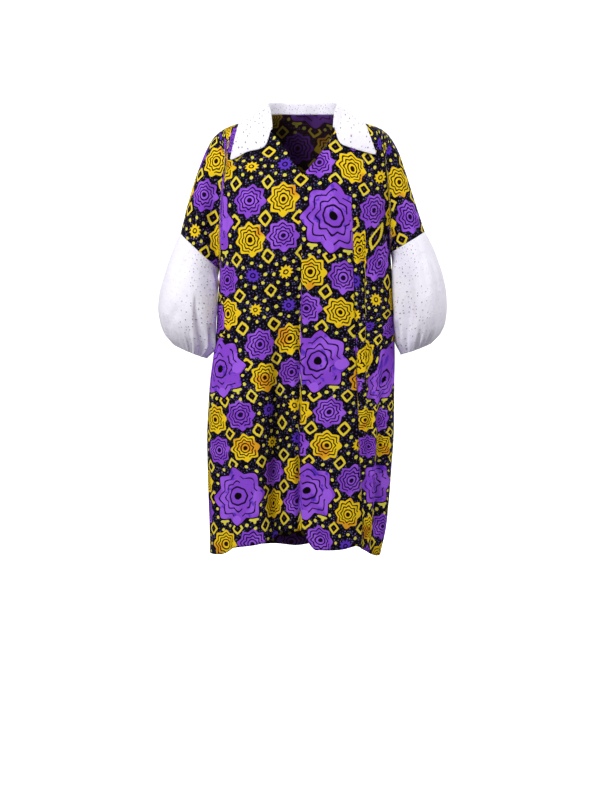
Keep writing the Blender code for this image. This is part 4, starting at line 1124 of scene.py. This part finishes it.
def sleevePoints(side):
    look = sleeveLook
    rows = look[side]
    shares = np.linspace(0, 1, look["rings"] + 1)
    outerX, outerZ, innerX, innerZ, depth = tableAt(rows, (1, 2, 3, 4, 5), shares)
    outer = np.stack([outerX, 0 * shares, outerZ], axis=-1)
    inner = np.stack([innerX, 0 * shares, innerZ], axis=-1)
    angle = 2 * np.pi * np.arange(look["sides"]) / look["sides"]
    middle = (outer + inner) / 2
    reach = (outer - inner) / 2
    # wide folds in the hang, which break into more and smaller gathers towards the hem
    fadeFrom, fadeRun, faded = look["broadFade"]
    broad = smoothStep(shares / look["broadRun"])
    broad *= 1 - faded * smoothStep((shares - fadeFrom) / fadeRun)
    tightFrom, tightRun = look["tightRun"]
    tight = smoothStep((shares - tightFrom) / tightRun)
    gatherFrom, perWave, gatherRun = look["gatherRun"]
    shift = 0 if side == "left" else look["rightTurn"]
    ripple = np.zeros((len(shares), look["sides"]))
    for waves, turn, height in look["broadFolds"]:
        ripple += np.outer(broad, height * np.cos(waves * angle + turn + shift))
    for waves, turn, height in look["gathers"]:
        start = smoothStep((shares - gatherFrom - perWave * waves) / gatherRun)
        ripple += np.outer(tight * start, height * np.cos(waves * angle + turn))
    for fold in look[side + "Folds"] + look["backFolds"]:
        middleTurn, outerWidth, innerWidth = np.radians(tableAt(fold, (1, 3, 4), shares))[..., None]
        away = (angle[None, :] - middleTurn + np.pi) % (2 * np.pi) - np.pi
        width = np.where(away < 0, outerWidth, innerWidth)
        ripple -= smoothTable(fold, 2, shares)[:, None] * np.exp(-((away / width) ** 2))
    ripple = 1 + ripple / np.maximum(depth, look["leastDepth"])[:, None]
    points = middle[:, None, :] + (ripple * np.cos(angle))[..., None] * reach[:, None, :]
    points[..., 1] = -depth[:, None] * ripple * np.sin(angle)
    run = look["swellRun"]
    swell = look["swell"] * smoothStep(shares / run)[:, None]
    swell = swell * smoothStep((look["swellEnd"] - shares) / run)[:, None]
    near = sum(share * np.exp(-(((angle - np.radians(place)) / np.radians(spread)) ** 2))
               for place, spread, share in look["swellAt"])
    points[..., 0] += (1 if side == "left" else -1) * swell * near
    seam = outer[0] - inner[0]
    downArm = unit(np.array([seam[2], 0, -seam[0]]))
    downArm = downArm * -np.sign(downArm[2])
    u = np.tile(np.append(angle, 2 * np.pi) / (2 * np.pi) * sleeveRound, (len(shares), 1))
    v = np.tile(-lengthsAlong(middle)[:, None] * look["lengthScale"], (1, look["sides"] + 1))
    return points + downArm * look["armholeGap"], (u, v)


for side, node in (("left", "sleeve_left"), ("right", "sleeve_right")):
    points, uv = sleevePoints(side)
    sleeve = clothMesh("balloonSleeve" + side.capitalize(), points, uv, sleeveEyelet, sleeveEyelet,
                       closed=True, flip=side == "left", thickness=sleeveLook["thickness"])
    dress(sleeve, node)
    centres = points.mean(axis=1, keepdims=True)
    normals = surfaceNormals(points, closed=True)
    normals *= np.sign((normals * (points - centres)).sum(axis=-1, keepdims=True))
    rows = []
    for distance, row in sleeveLook["stitchRows"]:
        line = rowInside(points, distance)
        rows.append((np.vstack([line, line[:1]]), np.vstack([normals[row], normals[row][:1]])))
    stitches = sewOn("sleeveStitches" + side.capitalize(), rows, whiteThread, node)
print("sleeves gathered")

# Collar: a low stand, a rolled edge and a pointed leaf on each side
collarLook = {
    "wall": 1.8, "gap": 0.7, "clearance": 2.0, "ridgeClearance": 1.5, "rollHalfWidth": 4.5,
    "ridgePlace": 0.73, "ridgeSpread": 0.1, "lyingPlace": 0.8, "lyingRun": 0.18,
    "frontLeafPlace": 0.78, "frontLeafPower": 1.5, "leafRows": 8, "thickness": 1.2,
    "rimPasses": 6, "rimHeart": (0, 8), "belowRim": 3, "halfLength": 310, "stitchesIn": 5.0,
    "heart": (0, 0, -150),  # the leaf faces away from this point
    # place round the neck, rise and lean of the roll, x and z of the outer edge on the left and on the
    # right side
    "sections": [
        (0.00, 29, 3, 0, -44, 0, -44), (0.18, 29, 3, -40, -44, 40, -44),
        (0.36, 30, 3, -84, -40, 84, -40), (0.55, 31, 2, -119, -29, 118, -29),
        (0.73, 30, 2, -143, -19, 142, -19),
        (0.82, 25, 3, -147, -32, 147, -30), (0.91, 14, 4, -156, -67, 158, -60),
        (1.00, 8, 4, -166, -111, 172, -98),
    ],
    # front edge of each leaf: share of its length, x and z
    "frontEdge": {
        "left": [(0.0, -74, -44), (0.2, -81, -86), (0.4, -100, -93), (0.6, -124, -94),
                 (0.8, -146, -105), (1.0, -166, -111)],
        "right": [(0.0, 76, -41), (0.2, 84, -80), (0.4, 99, -85), (0.6, 122, -90), (0.8, 147, -94),
                  (1.0, 172, -98)],
    },
}


def slopes(value, x, z):
    nudge = 0.5
    slopeX = (value(x + nudge, z) - value(x - nudge, z)) / (2 * nudge)
    slopeZ = (value(x, z + nudge) - value(x, z - nudge)) / (2 * nudge)
    return slopeX, slopeZ


def clearOfBody(points, clearance):
    moved = points.copy()  # a few passes move each point out to its clearance from the body
    passes, longestStep = 8, 6
    for _ in range(passes):
        x, y, z = moved.T

        def excess(atX, atZ):
            depth = np.where(y < 0, halfDepth(atX, atZ, True), halfDepth(atX, atZ, False))
            above = np.maximum(atZ - shoulderHeight(atX), 0)
            return y**2 - np.where(above > 0, -2 * dressForm["armHalfDepth"] * above, depth**2)

        slopeX, slopeZ = slopes(excess, x, z)
        slope = np.stack([slopeX, 2 * y, slopeZ], axis=-1)
        steep = np.maximum(np.linalg.norm(slope, axis=-1), 1.0)
        step = np.clip(clearance - excess(x, z) / steep, 0, longestStep)
        moved = moved + slope / steep[:, None] * step[:, None]
    return moved


def neckRim(frontGrid, backGrid):
    steps = frontLook["columnSteps"]
    centre = dressForm["halfColumns"] * steps
    near, far = dressForm["slitColumn"] * steps, dressForm["neckColumn"] * steps
    left = frontGrid[0, centre - far + 1:centre - near + 1][::-1]
    behind = backGrid[0, centre - far:centre + far + 1]
    right = frontGrid[0, centre + near:centre + far][::-1]
    rim = np.concatenate([left, behind, right])
    rim[[far - near, -1 - far + near], 1] = 0
    count = 2 * len(rim) // 3
    # the same places round the neck as on the part: 3 columns in front, 16 behind and 3 in front
    known = np.concatenate([np.linspace(0, 3, far - near + 1), np.linspace(3, 19, 2 * far + 1)[1:],
                            np.linspace(19, 22, far - near + 1)[1:]])
    return valuesAt(rim, known, np.linspace(0, 22, count))


def collarPoints(frontGrid, backGrid):
    look = collarLook
    rim = neckRim(frontGrid, backGrid)
    for _ in range(look["rimPasses"]):
        rim[1:-1] = (rim[:-2] + 2 * rim[1:-1] + rim[2:]) / 4
    count = len(rim)
    place = np.abs(np.linspace(-1, 1, count))
    side = np.where(np.arange(count) < count / 2, -1.0, 1.0)
    rise, lean, leftX, leftZ, rightX, rightZ = tableAt(look["sections"], (1, 2, 3, 4, 5, 6), place)
    along = np.gradient(rim, axis=0)
    outward = unit(np.stack([along[:, 1], -along[:, 0], 0 * place], axis=-1))
    outward *= np.sign((outward[:, :2] * (rim[:, :2] - look["rimHeart"])).sum(axis=-1, keepdims=True))
    lying = np.clip((place - look["lyingPlace"]) / look["lyingRun"], 0, 1)[:, None]

    def depthSquared(x, z):
        return np.where(rim[:, 1] < 0, halfDepth(x, z, True), halfDepth(x, z, False)) ** 2

    slopeX, slopeZ = slopes(depthSquared, rim[:, 0], rim[:, 2] - look["belowRim"])
    clothOut = unit(np.stack([-slopeX, 2 * rim[:, 1], -slopeZ], axis=-1))
    clothUp = unit(np.cross(clothOut, along))
    clothUp *= np.sign(clothUp[:, 2:3])
    up = unit(clothUp * lying + np.array([0, 0, 1.0]) * (1 - lying))
    outward = unit(clothOut * lying + outward * (1 - lying))
    roll = rim + up * rise[:, None] + outward * lean[:, None]
    edgeX, edgeZ = np.where(side < 0, (leftX, leftZ), (rightX, rightZ))
    behind = place < look["ridgePlace"]
    edgeY = np.where(behind, halfDepth(edgeX, edgeZ, False), -halfDepth(edgeX, edgeZ, True))
    edgeY *= edgeZ < shoulderHeight(edgeX)
    edge = np.stack([edgeX, edgeY, edgeZ], axis=-1)
    half = look["rollHalfWidth"]
    fall = np.minimum(rise, 2 * half) / 2
    foot = rim + up * look["gap"]
    halfway = (rim + roll - up * fall[:, None]) / 2
    rows = [
        foot,
        (foot + halfway) / 2 - outward * look["wall"] / 4,
        halfway - outward * look["wall"] / 2,
        roll - outward * half * 0.5 - up * fall[:, None] * 0.6,
        roll,
    ]
    start = roll + outward * half - up * fall[:, None]
    frontShare = np.clip((place - look["frontLeafPlace"]) / (1 - look["frontLeafPlace"]), 0, 1)
    frontShare = frontShare ** look["frontLeafPower"]
    onRidge = np.exp(-(((place - look["ridgePlace"]) / look["ridgeSpread"]) ** 2))
    for share in np.linspace(0, 1, look["leafRows"] + 1):
        leaf = start + (edge - start) * share
        for name, onSide in (("left", side < 0), ("right", side > 0)):
            path = look["frontEdge"][name]
            for column, axis in ((1, 0), (2, 2)):
                straight = path[0][column] + (path[-1][column] - path[0][column]) * share
                leaf[:, axis] += onSide * frontShare * (smoothTable(path, column, share) - straight)
        clearance = look["wall"] + look["clearance"] + look["ridgeClearance"] * onRidge
        rows.append(clearOfBody(leaf, clearance))
    points = np.array(rows)
    u = np.tile(np.linspace(-look["halfLength"], look["halfLength"], count), (len(rows), 1))
    return points, (u, -lengthsAlong(points))


points, uv = collarPoints(frontPoints, backPoints)
collar = clothMesh("pointedCollar", points, uv, eyelet, eyelet, flip=True,
                   thickness=collarLook["thickness"], level=1)
dress(collar, "collar")
leafStart = len(points) - collarLook["leafRows"] - 1
leaf = points[leafStart:]
normals = surfaceNormals(points)[leafStart:]
normals *= np.sign((normals * (leaf - collarLook["heart"])).sum(axis=-1, keepdims=True))
inside = collarLook["stitchesIn"]
rows = [(rowInside(leaf, inside), normals[-2])]
for grid, up in ((leaf, normals), (leaf[:, ::-1], normals[:, ::-1])):
    rows.append((rowInside(grid.transpose(1, 0, 2), inside, True), up[:, 1]))
stitches = sewOn("collarStitches", rows, whiteThread, "collar")
print("collar set")

# Studio: a round pale floor that curves up into a wall all round, a camera and soft lights
studioLook = {
    "floor": -1.513, "radius": 8.0, "bend": 1.8, "bendSteps": 13, "height": 7.0, "steps": 64,
    "middle": 0.02, "paper": "#FBFBFB", "paperGlow": 0.9, "paperRoughness": 0.9,
    "camera": (-0.0047, -4.0, -0.335), "cameraPitch": 85.3, "cameraView": 26.4,
    "skyAbove": "#CACACE", "skyBelow": "#8C8A90",
}


def studioPaper():
    look = studioLook
    profile = [(look["middle"], look["floor"])]
    for turn in np.linspace(0, np.pi / 2, look["bendSteps"]):
        profile.append((look["radius"] - look["bend"] * (1 - math.sin(turn)),
                        look["floor"] + look["bend"] * (1 - math.cos(turn))))
    profile.append((look["radius"], look["floor"] + look["height"]))
    steps = look["steps"]
    turns = [2 * math.pi * i / steps for i in range(steps)]
    corners = [(r * math.cos(turn), r * math.sin(turn), z) for r, z in profile for turn in turns]
    faces = [tuple(range(steps))[::-1]]
    for low in range(0, steps * (len(profile) - 1), steps):
        for i in range(steps):
            right = (i + 1) % steps
            faces.append((low + i, low + right, low + steps + right, low + steps + i))
    mesh = bpy.data.meshes.new("studioPaper")
    mesh.from_pydata(corners, [], faces)
    for polygon in mesh.polygons:
        polygon.use_smooth = True
    paper = addObject("studioPaper", mesh)
    white = linear(look["paper"])
    mesh.materials.append(newMaterial("mattPaper", {
        "Base Color": white, "Roughness": look["paperRoughness"],
        "Emission Color": white, "Emission Strength": look["paperGlow"],
    })[0])
    # the paper stands far off and sends no light back, so that the folds keep their shade
    paper.visible_diffuse = False
    paper.visible_glossy = False
    paper.visible_shadow = False
    return paper


studioPaper()

world = bpy.data.worlds.new("studioWorld")
world.use_nodes = True
addSky = partial(addNode, world.node_tree)
skyPlace = addSky("TexCoord", None, (), "Generated")
skyHeight = addSky("SeparateXYZ", None, [skyPlace], 2)
skyShare = addSky("MapRange", "SMOOTHSTEP", [skyHeight, -0.5, 0.5])
below, above = linear(studioLook["skyBelow"]), linear(studioLook["skyAbove"])
skyColour = layered(addSky, below, (above, skyShare))
world.node_tree.links.new(skyColour, world.node_tree.nodes["Background"].inputs["Color"])
bpy.context.scene.world = world
bpy.context.scene.view_settings.view_transform = "Standard"

lightLook = [
    # name, place, aim, size, watts
    ("frontSoftbox", (-1.75, -2.4, 1.5), (0.0, 0.0, -0.25), 1.2, 90),
    ("sideSoftbox", (3.1, -0.75, 1.1), (0.0, 0.0, -0.3), 1.3, 42),
    ("backSoftbox", (1.4, 3.0, 1.4), (0.0, 0.0, -0.3), 1.4, 50),
]
for name, place, aim, size, watts in lightLook:
    lamp = bpy.data.lights.new(name, "AREA")
    lamp.shape = "SQUARE"
    lamp.size = size
    lamp.energy = watts
    holder = addObject(name, lamp)
    holder.location = place
    dx, dy, dz = (aim[i] - place[i] for i in range(3))
    holder.rotation_euler = (math.atan2(math.hypot(dx, dy), -dz), 0, math.atan2(-dx, dy))

cameraData = bpy.data.cameras.new("photoCamera")
cameraData.sensor_fit = "VERTICAL"
cameraData.angle = math.radians(studioLook["cameraView"])
camera = addObject("photoCamera", cameraData)
camera.location = studioLook["camera"]
camera.rotation_euler = (math.radians(studioLook["cameraPitch"]), 0, 0)
bpy.context.scene.camera = camera
print("studio lit")
